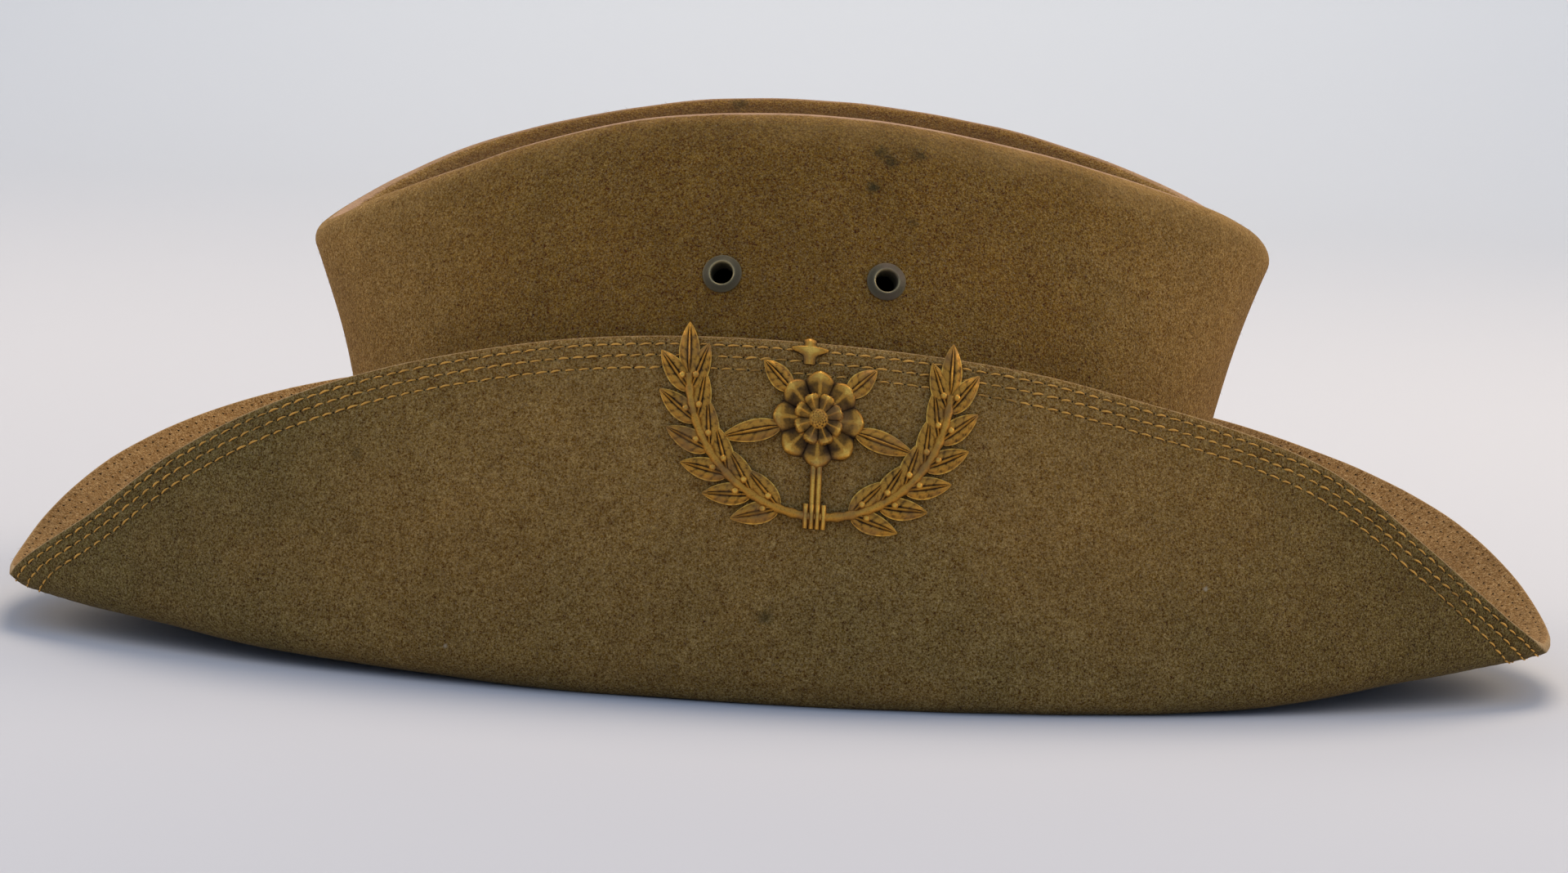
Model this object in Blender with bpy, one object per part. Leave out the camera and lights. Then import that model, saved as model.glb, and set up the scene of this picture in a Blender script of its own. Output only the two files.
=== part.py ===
"""A felt slouch hat with its brim turned up on the wearer's left, lying as it rests on a table.

Units are metres, +Z up. The hat's front points to -X and its turned-up side to -Y. Heights are above the
table. The felt is worked out as the middle surface of one sheet, from the bottom of the crown's dent over
the ridge, down the wall, out along the brim, round the fold and up the flap, and is then given its
thickness.
"""

from collections import namedtuple
from math import atan2, cos, degrees, pi, radians, sin, sqrt

import bmesh
import bpy
from mathutils import Matrix, Vector

MM = 0.001

# Looks: colour, roughness and metallic value.
FELT = ((0.17, 0.105, 0.05), 0.95, 0.0)
BRASS = ((0.33, 0.19, 0.06), 0.4, 1.0)
PATINA = ((0.10, 0.10, 0.075), 0.45, 0.8)
SHARP_ANGLE = 35

FELT_THICKNESS = 2.5 * MM
SEAT_GAP = 0.3 * MM
SHEET_HEIGHT = 1.0 * MM  # the middle of the sheet where the felt lies flattened on the table

CROWN_X = -1.5 * MM
FOOT_HALF_LENGTH = 94.0 * MM
FOOT_HALF_WIDTH = 81.0 * MM
FOOT_ROLL = 3.5 * MM  # the bend between the crown and the brim
RIDGE_HALF_LENGTH = 107.0 * MM
RIDGE_HALF_WIDTH = 46.0 * MM
RIDGE_ROLL = 3.5 * MM
WALL_POWER = 2.2  # the wall stands upright at its foot and leans more and more towards the ridge
SEAM_HALF_LENGTH = 88.0 * MM
SEAM_HEIGHT = 96.5 * MM
FRONT_SEAM_HEIGHT = 84.0 * MM
BACK_SEAM_HEIGHT = 90.0 * MM
DENT_POWER = 2.0

# The height of the ridge's crest round the crown.
# Angles run from the back, through the far side at 90 and the front at 180, to the turned-up side at 270.
CrestRow = namedtuple("CrestRow", "angle height")
CREST_ROWS = (
    CrestRow(angle=0, height=100.5 * MM),
    CrestRow(angle=15, height=103.5 * MM),
    CrestRow(angle=30, height=108.8 * MM),
    CrestRow(angle=45, height=115.2 * MM),
    CrestRow(angle=60, height=121.4 * MM),
    CrestRow(angle=75, height=125.0 * MM),
    CrestRow(angle=90, height=126.4 * MM),
    CrestRow(angle=105, height=124.8 * MM),
    CrestRow(angle=120, height=119.5 * MM),
    CrestRow(angle=135, height=112.8 * MM),
    CrestRow(angle=150, height=105.0 * MM),
    CrestRow(angle=165, height=98.6 * MM),
    CrestRow(angle=180, height=95.5 * MM),
    CrestRow(angle=195, height=97.2 * MM),
    CrestRow(angle=210, height=102.8 * MM),
    CrestRow(angle=225, height=109.8 * MM),
    CrestRow(angle=240, height=118.2 * MM),
    CrestRow(angle=255, height=124.8 * MM),
    CrestRow(angle=270, height=126.7 * MM),
    CrestRow(angle=285, height=124.9 * MM),
    CrestRow(angle=300, height=120.5 * MM),
    CrestRow(angle=315, height=115.3 * MM),
    CrestRow(angle=330, height=110.0 * MM),
    CrestRow(angle=345, height=104.5 * MM),
)

BRIM_CURL_POWER = 1.6
BRIM_FLAT = 8.0 * MM  # the band round the foot that lies flat on the table
BRIM_FLAT_SHARE = 0.3  # where the brim is narrow, the band is this share of it at most
CREASE_DEPTH = 88.75 * MM  # how far the fold lies from the middle at the turned-up side
CREASE_TIP_X = 176.0 * MM
CREASE_TIP_DEPTH = 31.75 * MM
# The fold follows an arc, seen from above.
CREASE_SAGITTA = CREASE_DEPTH - CREASE_TIP_DEPTH
CREASE_RADIUS = (CREASE_TIP_X**2 + CREASE_SAGITTA**2) / (2 * CREASE_SAGITTA)
CREASE_CENTRE = Vector((0, CREASE_RADIUS - CREASE_DEPTH))
FOLD_ROLL = 4.5 * MM
FLAP_LEAN = 14.5 * MM  # how far the flap leans in towards the crown at FLAP_LEAN_HEIGHT
FLAP_LEAN_HEIGHT = 71.0 * MM
FLAP_LEAN_POWER = 1.7

# How high the fold lies above the sheet's lowest level, along the hat. It sags onto the table behind the
# middle and lifts off it towards both tips.
CreaseRow = namedtuple("CreaseRow", "x lift")
CREASE_ROWS = (
    CreaseRow(x=-200 * MM, lift=13.0 * MM),
    CreaseRow(x=-176 * MM, lift=9.8 * MM),
    CreaseRow(x=-136 * MM, lift=5.9 * MM),
    CreaseRow(x=-100 * MM, lift=3.4 * MM),
    CreaseRow(x=-60 * MM, lift=2.8 * MM),
    CreaseRow(x=-10 * MM, lift=2.8 * MM),
    CreaseRow(x=35 * MM, lift=0.8 * MM),
    CreaseRow(x=67 * MM, lift=0.0 * MM),
    CreaseRow(x=88 * MM, lift=0.2 * MM),
    CreaseRow(x=115 * MM, lift=2.3 * MM),
    CreaseRow(x=142 * MM, lift=7.0 * MM),
    CreaseRow(x=176 * MM, lift=11.0 * MM),
    CreaseRow(x=200 * MM, lift=13.0 * MM),
)

# The brim round the head, by the same angles: its width, and how high its edge curls up where it isn't
# folded.
BrimRow = namedtuple("BrimRow", "angle width rise")
BRIM_ROWS = (
    BrimRow(angle=0, width=85.0 * MM, rise=12.0 * MM),
    BrimRow(angle=8, width=84.0 * MM, rise=20.0 * MM),
    BrimRow(angle=18, width=83.0 * MM, rise=29.3 * MM),
    BrimRow(angle=35, width=82.0 * MM, rise=39.7 * MM),
    BrimRow(angle=50, width=81.1 * MM, rise=45.8 * MM),
    BrimRow(angle=90, width=80.5 * MM, rise=48.0 * MM),
    BrimRow(angle=130, width=81.1 * MM, rise=45.7 * MM),
    BrimRow(angle=145, width=81.4 * MM, rise=40.8 * MM),
    BrimRow(angle=162, width=81.8 * MM, rise=29.0 * MM),
    BrimRow(angle=173, width=82.0 * MM, rise=17.5 * MM),
    BrimRow(angle=180, width=82.0 * MM, rise=11.5 * MM),
    BrimRow(angle=190, width=81.2 * MM, rise=11.0 * MM),
    BrimRow(angle=200, width=79.4 * MM, rise=11.0 * MM),
    BrimRow(angle=210, width=82.0 * MM, rise=11.0 * MM),
    BrimRow(angle=225, width=82.6 * MM, rise=11.0 * MM),
    BrimRow(angle=245, width=79.6 * MM, rise=11.0 * MM),
    BrimRow(angle=270, width=77.0 * MM, rise=11.0 * MM),
    BrimRow(angle=300, width=82.3 * MM, rise=11.0 * MM),
    BrimRow(angle=322, width=86.2 * MM, rise=11.0 * MM),
    BrimRow(angle=335, width=81.2 * MM, rise=11.0 * MM),
    BrimRow(angle=345, width=80.4 * MM, rise=11.0 * MM),
    BrimRow(angle=352, width=83.6 * MM, rise=11.0 * MM),
)

# Where the ribs of the mesh stand, closer together at the two tips of the fold.
RibSpan = namedtuple("RibSpan", "start end ribs")
RIB_SPANS = (
    RibSpan(start=15, end=165, ribs=24),
    RibSpan(start=165, end=210, ribs=12),
    RibSpan(start=210, end=330, ribs=19),
    RibSpan(start=330, end=375, ribs=12),
)
DENT_STEPS = (0.0, 0.3, 0.55, 0.78)
RIDGE_STEPS = 4
WALL_STEPS = (0.93, 0.82, 0.66, 0.48, 0.28, 0.0)
FOOT_STEPS = 3
BRIM_STEPS = (0.2, 0.45, 0.7)
FOLD_STEPS = 4
FLAP_STEPS = 5
FLAP_ROOM = 8.0 * MM  # the least length of rib kept for the flap's rows
FOLD_ROOM = 7.0 * MM

EYELET_PLACES = {"front": -15.8 * MM, "back": 20.0 * MM}
EYELET_HEIGHT = 91.4 * MM
EYELET_SIDES = 14
EYELET_HOLE = 3.2 * MM
EYELET_HOLE_SIDES = 14
HOLE_REACH = 4.0 * MM

# The section of an eyelet: radius, and height above the middle of the felt, positive outside the crown.
EyeletRow = namedtuple("EyeletRow", "radius height")
EYELET_ROWS = (
    EyeletRow(radius=2.5 * MM, height=-2.2 * MM),
    EyeletRow(radius=2.5 * MM, height=2.1 * MM),
    EyeletRow(radius=3.1 * MM, height=2.6 * MM),
    EyeletRow(radius=3.9 * MM, height=2.45 * MM),
    EyeletRow(radius=4.35 * MM, height=1.9 * MM),
    EyeletRow(radius=4.2 * MM, height=1.55 * MM),
    EyeletRow(radius=2.9 * MM, height=1.55 * MM),
    EyeletRow(radius=2.9 * MM, height=-1.75 * MM),
    EyeletRow(radius=3.9 * MM, height=-1.75 * MM),
    EyeletRow(radius=3.9 * MM, height=-2.3 * MM),
    EyeletRow(radius=3.2 * MM, height=-2.6 * MM),
)

# The badge lies flat while it is modelled: u to the back of the hat, v up the flap, w away from the felt.
BADGE_X = 7.0 * MM
BADGE_HEIGHT = 57.3 * MM
BADGE_WELD = 0.02 * MM
SPRAY_CENTRE_V = 12.0 * MM
SPRAY_HALF_WIDTH = 29.5 * MM
SPRAY_DEPTH = 30.0 * MM
SPRAY_START = -85  # degrees along the oval that the stems follow
SPRAY_END = -4
SPRAY_STEM_TAIL = 8
FIRST_PAIR = 10
LAST_PAIR = 7
SPRAY_PAIRS = 6
SPRAY_STEM_STEPS = 7
SPRAY_STEM_SIDES = 6
SPRAY_STEM_RADIUS = 1.0 * MM

# Half a leaf's outline from its root to its tip, in shares of its length and half width.
LeafRow = namedtuple("LeafRow", "along across")
LEAF_ROWS = (
    LeafRow(along=0.0, across=0.0),
    LeafRow(along=0.3, across=1.0),
    LeafRow(along=0.7, across=0.8),
    LeafRow(along=1.0, across=0.0),
)
LEAF_RIB_START = 0.2
LEAF_RIB_END = 0.75
LEAF_SPREAD = 30
LEAF_LENGTH = 11.0 * MM
LEAF_HALF_WIDTH = 2.4 * MM
LEAF_EDGE = 0.9 * MM
LEAF_RIB = 1.7 * MM

ROSETTE_V = 2.5 * MM
ROSETTE_RADIUS = 10.2 * MM
ROSETTE_PETALS = 8
PETAL_STEPS = 4
ROSETTE_NOTCH = 1.5 * MM
RosetteRow = namedtuple("RosetteRow", "share height notched")
ROSETTE_ROWS = (
    RosetteRow(share=1.0, height=0.0, notched=1.0),
    RosetteRow(share=1.0, height=1.2 * MM, notched=1.0),
    RosetteRow(share=0.8, height=2.0 * MM, notched=0.6),
    RosetteRow(share=0.42, height=1.5 * MM, notched=0.2),
    RosetteRow(share=0.3, height=2.3 * MM, notched=0.0),
    RosetteRow(share=0.15, height=2.8 * MM, notched=0.0),
)
RosetteLeaf = namedtuple("RosetteLeaf", "angle length")
ROSETTE_LEAVES = (
    RosetteLeaf(angle=-14, length=14.0 * MM),
    RosetteLeaf(angle=42, length=9.0 * MM),
)
ROSETTE_LEAF_ROOT = 2.0 * MM
ROSETTE_LEAF_HALF_WIDTH = 2.4 * MM
KNOT_V = -18.0 * MM
KNOT_HALF = 2.6 * MM
KNOT_THICKNESS = 2.4 * MM
STALK_HALF = 1.3 * MM
STALK_THICKNESS = 1.5 * MM
POST_RADIUS = 1.2 * MM
POST_HOLE = 1.5 * MM
POST_ROOT = 0.4 * MM
POST_HEAD_RADIUS = 2.4 * MM
POST_HEAD = 0.8 * MM
POST_SIDES = 10

CLIP_X = 4.4 * MM
CLIP_RIB = 272.5  # the brim's rib behind the clip
CLIP_THICKNESS = 0.8 * MM

# Sections along the clip, from its foot in front of the flap over the flap's edge to its hook behind: how
# far below the edge each lies, its half width, and its side of the felt, 1 in front and -1 behind.
ClipRow = namedtuple("ClipRow", "drop half_width side")
CLIP_ROWS = (
    ClipRow(drop=4.5 * MM, half_width=1.5 * MM, side=1),
    ClipRow(drop=3.2 * MM, half_width=1.5 * MM, side=1),
    ClipRow(drop=2.9 * MM, half_width=4.1 * MM, side=1),
    ClipRow(drop=1.1 * MM, half_width=4.1 * MM, side=1),
    ClipRow(drop=0.8 * MM, half_width=1.5 * MM, side=1),
    ClipRow(drop=-SEAT_GAP, half_width=1.5 * MM, side=1),
    ClipRow(drop=-SEAT_GAP, half_width=1.5 * MM, side=-1),
    ClipRow(drop=7.0 * MM, half_width=2.2 * MM, side=-1),
)

FRAME_STEP = 1e-3  # how far apart the points lie that give a surface's direction
WALL_SEARCH_ROUNDS = 20


def mix(a, b, share):
    return a + (b - a) * share


def through_rows(rows, place):
    """The value at a place on a smooth curve, from the four rows (place, value) round it."""
    places, values = zip(*rows)
    span = places[2] - places[1]
    share = (place - places[1]) / span
    slope_in = (values[2] - values[0]) / (places[2] - places[0]) * span
    slope_out = (values[3] - values[1]) / (places[3] - places[1]) * span
    square, cube = share**2, share**3
    return (
        (2 * cube - 3 * square + 1) * values[1]
        + (cube - 2 * square + share) * slope_in
        + (3 * square - 2 * cube) * values[2]
        + (cube - square) * slope_out
    )


def smooth_row(table, angle, column):
    """One column of a table at any angle, on a smooth closed curve through its rows."""
    count = len(table)
    angle %= 360
    last = max(i for i in range(count) if table[i].angle <= angle)
    rows = []
    for i in range(last - 1, last + 3):
        row = table[i % count]
        rows.append((row.angle + 360 * (i // count), getattr(row, column)))
    return through_rows(rows, angle)


def crease_lift(x):
    """How high the fold lies above the sheet's lowest level, at this x."""
    last = max(i for i in range(1, len(CREASE_ROWS) - 2) if CREASE_ROWS[i].x <= x or i == 1)
    return through_rows(CREASE_ROWS[last - 1 : last + 3], x)


def oval(angle, half_length, half_width):
    turn = radians(angle)
    return Vector((CROWN_X + half_length * cos(turn), half_width * sin(turn)))


def oval_normal(angle, half_length, half_width):
    turn = radians(angle)
    return Vector((cos(turn) / half_length, sin(turn) / half_width)).normalized()


def upright(flat, height):
    return Vector((flat.x, flat.y, height))


def end_share(angle):
    """0 at the crown's front end, 1 at its back end."""
    return (1 + cos(radians(angle))) / 2


def seam_point(angle):
    """The bottom of the crown's dent, on the middle line."""
    turn = radians(angle)
    low = mix(FRONT_SEAM_HEIGHT, BACK_SEAM_HEIGHT, end_share(angle))
    height = SEAM_HEIGHT - (SEAM_HEIGHT - low) * cos(turn) ** 2
    return Vector((CROWN_X + SEAM_HALF_LENGTH * cos(turn), 0, height))


def ridge_arc(angle):
    """The ridge's roll: its centre, its outward direction, and the angles where dent and wall meet it."""
    centre = upright(
        oval(angle, RIDGE_HALF_LENGTH, RIDGE_HALF_WIDTH),
        smooth_row(CREST_ROWS, angle, "height") - FELT_THICKNESS / 2 - RIDGE_ROLL,
    )
    out = oval_normal(angle, RIDGE_HALF_LENGTH, RIDGE_HALF_WIDTH).to_3d()
    foot = oval(angle, FOOT_HALF_LENGTH, FOOT_HALF_WIDTH)
    flare = WALL_POWER * (centre.to_2d() - foot).dot(out.to_2d())
    wall_turn = -atan2(flare, centre.z - SHEET_HEIGHT - FOOT_ROLL)
    dent = seam_point(angle)
    inner = centre - out * RIDGE_ROLL
    drop = atan2(DENT_POWER * (inner.z - dent.z), (inner - dent).to_2d().length)
    return centre, out, pi / 2 + drop, wall_turn


def ridge_point(angle, share):
    """A point on the ridge's roll, from the dent at 0 to the wall at 1."""
    centre, out, dent_turn, wall_turn = ridge_arc(angle)
    turn = mix(dent_turn, wall_turn, share)
    return centre + out * (RIDGE_ROLL * cos(turn)) + Vector((0, 0, RIDGE_ROLL * sin(turn)))


def dent_point(angle, share):
    """A point in the dent, from the middle line at 0 to the ridge at 1."""
    bottom = seam_point(angle)
    top = ridge_point(angle, 0)
    point = bottom.lerp(top, share)
    point.z = mix(bottom.z, top.z, share**DENT_POWER)
    return point


def wall_point(angle, share):
    """A point on the crown's wall, from its foot at 0 to the ridge at 1."""
    foot = upright(oval(angle, FOOT_HALF_LENGTH, FOOT_HALF_WIDTH), SHEET_HEIGHT + FOOT_ROLL)
    top = ridge_point(angle, 1)
    point = foot.lerp(top, share**WALL_POWER)
    point.z = mix(foot.z, top.z, share)
    return point


def foot_point(angle, share):
    """A point on the bend at the crown's foot, from the wall at 0 to the brim at 1."""
    foot = oval(angle, FOOT_HALF_LENGTH, FOOT_HALF_WIDTH)
    out = oval_normal(angle, FOOT_HALF_LENGTH, FOOT_HALF_WIDTH)
    turn = share * pi / 2
    return upright(
        foot + out * (FOOT_ROLL * (1 - cos(turn))),
        SHEET_HEIGHT + FOOT_ROLL * (1 - sin(turn)),
    )


def reach_to_ring(start, out, radius):
    """How far along a rib the ring of this radius round the crease's centre lies."""
    from_centre = start - CREASE_CENTRE
    along = from_centre.dot(out)
    return -along + sqrt(along**2 - from_centre.length_squared + radius**2)


Rib = namedtuple("Rib", "start out width rise crossing")


def brim_rib(angle):
    """One rib of the brim, from the foot's bend outwards, and where it crosses the crease."""
    start = foot_point(angle, 1).to_2d()
    out = oval_normal(angle, FOOT_HALF_LENGTH, FOOT_HALF_WIDTH)
    crossing = reach_to_ring(start, out, CREASE_RADIUS)
    width = smooth_row(BRIM_ROWS, angle, "width")
    if crossing < width:
        rise = crease_lift((start + out * crossing).x)
    else:
        rise = smooth_row(BRIM_ROWS, angle, "rise")
        crossing = width
    return Rib(start, out, width, rise, crossing)


def brim_point(rib, distance):
    """A point of the brim this far along a rib, folded up where it lies past the crease."""
    slant = sqrt(1 - (rib.rise / rib.width) ** 2)
    flat = rib.start + rib.out * (distance * slant)
    flat_band = min(BRIM_FLAT, BRIM_FLAT_SHARE * rib.crossing)
    share = max(0, distance - flat_band) / (rib.crossing - flat_band)
    height = SHEET_HEIGHT + rib.rise * min(1, share) ** BRIM_CURL_POWER
    from_centre = flat - CREASE_CENTRE
    past_start = from_centre.length - CREASE_RADIUS + FOLD_ROLL
    if past_start <= 0:
        return upright(flat, height)
    away = from_centre.normalized()
    crease = CREASE_CENTRE + away * CREASE_RADIUS
    if rib.crossing < distance:
        height = SHEET_HEIGHT + crease_lift(crease.x)
    if past_start < FOLD_ROLL * pi / 2:
        turn = past_start / FOLD_ROLL
        inward = FOLD_ROLL * (1 - sin(turn))
        height += FOLD_ROLL * (1 - cos(turn))
    else:
        climb = past_start - FOLD_ROLL * pi / 2
        inward = FLAP_LEAN * (climb / FLAP_LEAN_HEIGHT) ** FLAP_LEAN_POWER
        height += FOLD_ROLL + climb
    return upright(crease - away * inward, height)


def brim_distances(rib):
    """Where the rows of the mesh lie along a rib: the brim, the fold and the flap."""
    fold_start = reach_to_ring(rib.start, rib.out, CREASE_RADIUS - FOLD_ROLL)
    fold_end = reach_to_ring(rib.start, rib.out, CREASE_RADIUS + FOLD_ROLL * (pi / 2 - 1))
    fold_end = min(fold_end, rib.width - FLAP_ROOM)
    fold_start = min(fold_start, fold_end - FOLD_ROOM)
    rows = [fold_start * share for share in BRIM_STEPS]
    rows += [mix(fold_start, fold_end, i / FOLD_STEPS) for i in range(FOLD_STEPS)]
    rows += [mix(fold_end, rib.width, i / FLAP_STEPS) for i in range(FLAP_STEPS + 1)]
    return rows


def felt_rib(angle):
    """The middle of the felt along one rib, from the dent's bottom to the brim's edge."""
    points = [dent_point(angle, share) for share in DENT_STEPS]
    points += [ridge_point(angle, i / (RIDGE_STEPS - 1)) for i in range(RIDGE_STEPS)]
    points += [wall_point(angle, share) for share in WALL_STEPS]
    points += [foot_point(angle, (i + 1) / FOOT_STEPS) for i in range(FOOT_STEPS)]
    rib = brim_rib(angle)
    points += [brim_point(rib, distance) for distance in brim_distances(rib)]
    return points


def rib_angles():
    angles = []
    for span in RIB_SPANS:
        step = (span.end - span.start) / span.ribs
        angles += [span.start + step * i for i in range(span.ribs)]
    return angles


def felt_sheet():
    """The felt with no thickness, as a mesh open only along the brim's edge."""
    sheet = bmesh.new()
    ribs = []
    for angle in rib_angles():
        ribs.append([sheet.verts.new(point) for point in felt_rib(angle)])
    for i, rib in enumerate(ribs):
        beside = ribs[(i + 1) % len(ribs)]
        for row in range(len(rib) - 1):
            sheet.faces.new((rib[row], rib[row + 1], beside[row + 1], beside[row]))
    bmesh.ops.remove_doubles(sheet, verts=sheet.verts, dist=0.01 * MM)
    bmesh.ops.recalc_face_normals(sheet, faces=sheet.faces)
    sheet.normal_update()
    return sheet


def felt_body():
    """The crown and brim in one piece of felt, pressed flat where it lies on the table."""
    sheet = felt_sheet()
    felt = bmesh.new()
    half = FELT_THICKNESS / 2
    outer = {}
    inner = {}
    for vert in sheet.verts:
        for side, sign in ((outer, 1), (inner, -1)):
            point = vert.co + vert.normal * (sign * half)
            point.z = max(point.z, 0)
            side[vert] = felt.verts.new(point)
    for face in sheet.faces:
        felt.faces.new([outer[vert] for vert in face.verts])
        felt.faces.new([inner[vert] for vert in reversed(face.verts)])
    for edge in sheet.edges:
        if edge.is_boundary:
            start, end = edge.verts
            felt.faces.new((outer[start], outer[end], inner[end], inner[start]))
    bmesh.ops.recalc_face_normals(felt, faces=felt.faces)
    sheet.free()
    return finished(felt, "felt_body", FELT)


def material(name, colour, roughness, metallic):
    made = bpy.data.materials.new(name)
    made.use_nodes = True
    shader = made.node_tree.nodes["Principled BSDF"]
    shader.inputs["Base Color"].default_value = (*colour, 1)
    shader.inputs["Roughness"].default_value = roughness
    shader.inputs["Metallic"].default_value = metallic
    return made


def finished(shape, name, look):
    """Turns a bmesh into a smooth-shaded object with its own material."""
    mesh = bpy.data.meshes.new(name)
    shape.to_mesh(mesh)
    shape.free()
    mesh.shade_smooth()
    mesh.set_sharp_from_angle(angle=radians(SHARP_ANGLE))
    mesh.materials.append(material(name, *look))
    obj = bpy.data.objects.new(name, mesh)
    bpy.context.collection.objects.link(obj)
    return obj


def surface_frame(point_at, first, second, out_hint):
    """A matrix whose Z is the normal of the surface point_at(first, second), pointing along out_hint."""
    along = (point_at(first + FRAME_STEP, second) - point_at(first - FRAME_STEP, second)).normalized()
    up = (point_at(first, second + FRAME_STEP) - point_at(first, second - FRAME_STEP)).normalized()
    normal = along.cross(up).normalized()
    if normal.dot(out_hint) < 0:
        normal.negate()
    along = up.cross(normal).normalized()
    turn = Matrix((along, up, normal)).transposed().to_4x4()
    return Matrix.Translation(point_at(first, second)) @ turn


def wall_frame(x, height, side):
    """The frame of the spot on the wall with this x and height, on the far side (1) or the near side (-1)."""
    angle = 90 * side
    for _ in range(WALL_SEARCH_ROUNDS):
        foot = wall_point(angle, 0)
        top = wall_point(angle, 1)
        share = (height - foot.z) / (top.z - foot.z)
        point = wall_point(angle, share)
        angle += degrees((point.x - x) / FOOT_HALF_LENGTH) * side
    return surface_frame(wall_point, angle, share, Vector((0, side, 0)))


def flap_point(along, climb):
    """The middle of the flap's felt, this far along the crease from the hat's middle and up from the fold."""
    turn = along / CREASE_RADIUS
    away = Vector((sin(turn), -cos(turn)))
    inward = FLAP_LEAN * (climb / FLAP_LEAN_HEIGHT) ** FLAP_LEAN_POWER
    crease = CREASE_CENTRE + away * CREASE_RADIUS
    height = SHEET_HEIGHT + crease_lift(crease.x) + FOLD_ROLL + climb
    return upright(crease - away * inward, height)


def flap_frame(along, height):
    """The frame of a spot on the flap. Its height is counted from a fold that lies flat on the table."""
    climb = height - SHEET_HEIGHT - FOLD_ROLL
    return surface_frame(flap_point, along, climb, Vector((0, -1, 0)))


def lathe(rows, sides):
    """A closed ring turned about Z from a closed section."""
    shape = bmesh.new()
    rings = []
    for i in range(sides):
        turn = 2 * pi * i / sides
        rings.append([
            shape.verts.new((row.radius * cos(turn), row.radius * sin(turn), row.height)) for row in rows
        ])
    join_rings(shape, rings + rings[:1])
    bmesh.ops.recalc_face_normals(shape, faces=shape.faces)
    return shape


def cylinder(radius, sides, low, high, place):
    """A closed cylinder along place's Z, from low to high."""
    shape = bmesh.new()
    bmesh.ops.create_cone(
        shape, cap_ends=True, segments=sides, radius1=radius, radius2=radius, depth=high - low,
        matrix=place @ Matrix.Translation((0, 0, (low + high) / 2)),
    )
    return shape


def hole(target, name, radius, sides, place):
    """Cuts a round hole through the felt, along place's Z."""
    shape = cylinder(radius, sides, -HOLE_REACH, HOLE_REACH, place)
    mesh = bpy.data.meshes.new(name)
    shape.to_mesh(mesh)
    shape.free()
    cutter = bpy.data.objects.new(name, mesh)
    bpy.context.collection.objects.link(cutter)
    cutter.hide_render = True
    cutter.display_type = "WIRE"
    cut = target.modifiers.new(name, "BOOLEAN")
    cut.operation = "DIFFERENCE"
    cut.object = cutter


def eyelets(felt):
    """Four vent eyelets, two in each side of the crown."""
    for side_name, side in (("near", -1), ("far", 1)):
        for place_name, x in EYELET_PLACES.items():
            place = wall_frame(x, EYELET_HEIGHT, side)
            name = f"eyelet_{side_name}_{place_name}"
            hole(felt, f"{name}_hole", EYELET_HOLE, EYELET_HOLE_SIDES, place)
            ring = lathe(EYELET_ROWS, EYELET_SIDES)
            ring.transform(place)
            finished(ring, name, PATINA)


def leaf(base, direction, length, half_width):
    """A pointed leaf with a raised rib, its back on w = 0."""
    shape = bmesh.new()
    across = Vector((-direction.y, direction.x))

    def corner(along, side, height):
        flat = base + direction * (length * along) + across * (half_width * side)
        return shape.verts.new((flat.x, flat.y, height))

    outline = [(row.along, row.across) for row in LEAF_ROWS]
    outline += [(along, -side) for along, side in outline[-2:0:-1]]
    back = [corner(along, side, 0) for along, side in outline]
    front = [corner(along, side, LEAF_EDGE) for along, side in outline]
    low, high = (corner(along, 0, LEAF_RIB) for along in (LEAF_RIB_START, LEAF_RIB_END))
    join_rings(shape, [back, front])
    shape.faces.new(back)
    shape.faces.new((front[0], front[1], low))
    shape.faces.new((front[1], front[2], high, low))
    shape.faces.new((front[2], front[3], high))
    shape.faces.new((front[3], front[4], high))
    shape.faces.new((front[4], front[5], low, high))
    shape.faces.new((front[5], front[0], low))
    return shape


def spray_point(angle, side):
    """A point on the stem of one laurel spray."""
    turn = radians(angle)
    return Vector((side * SPRAY_HALF_WIDTH * cos(turn), SPRAY_CENTRE_V + SPRAY_DEPTH * sin(turn)))


def spray_direction(angle, side, spread):
    """The way a leaf points: along the stem, turned by spread to its outer side."""
    turn = radians(angle)
    along = Vector((-side * SPRAY_HALF_WIDTH * sin(turn), SPRAY_DEPTH * cos(turn))).normalized()
    swing = radians(spread) * -side
    return Vector((
        along.x * cos(swing) - along.y * sin(swing),
        along.x * sin(swing) + along.y * cos(swing),
    ))


def spray_stem(side):
    """The stem of one spray, a bar with a hexagonal section lying on w = 0."""
    shape = bmesh.new()
    rings = []
    for i in range(SPRAY_STEM_STEPS + 1):
        angle = mix(SPRAY_START - SPRAY_STEM_TAIL, SPRAY_END, i / SPRAY_STEM_STEPS)
        centre = spray_point(angle, side)
        across = spray_direction(angle, side, 90)
        ring = []
        for j in range(SPRAY_STEM_SIDES):
            turn = 2 * pi * j / SPRAY_STEM_SIDES
            flat = centre + across * (SPRAY_STEM_RADIUS * cos(turn))
            ring.append(shape.verts.new((flat.x, flat.y, SPRAY_STEM_RADIUS * (1 + sin(turn)))))
        rings.append(ring)
    join_rings(shape, rings)
    shape.faces.new(rings[0])
    shape.faces.new(rings[-1])
    return shape


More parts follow.
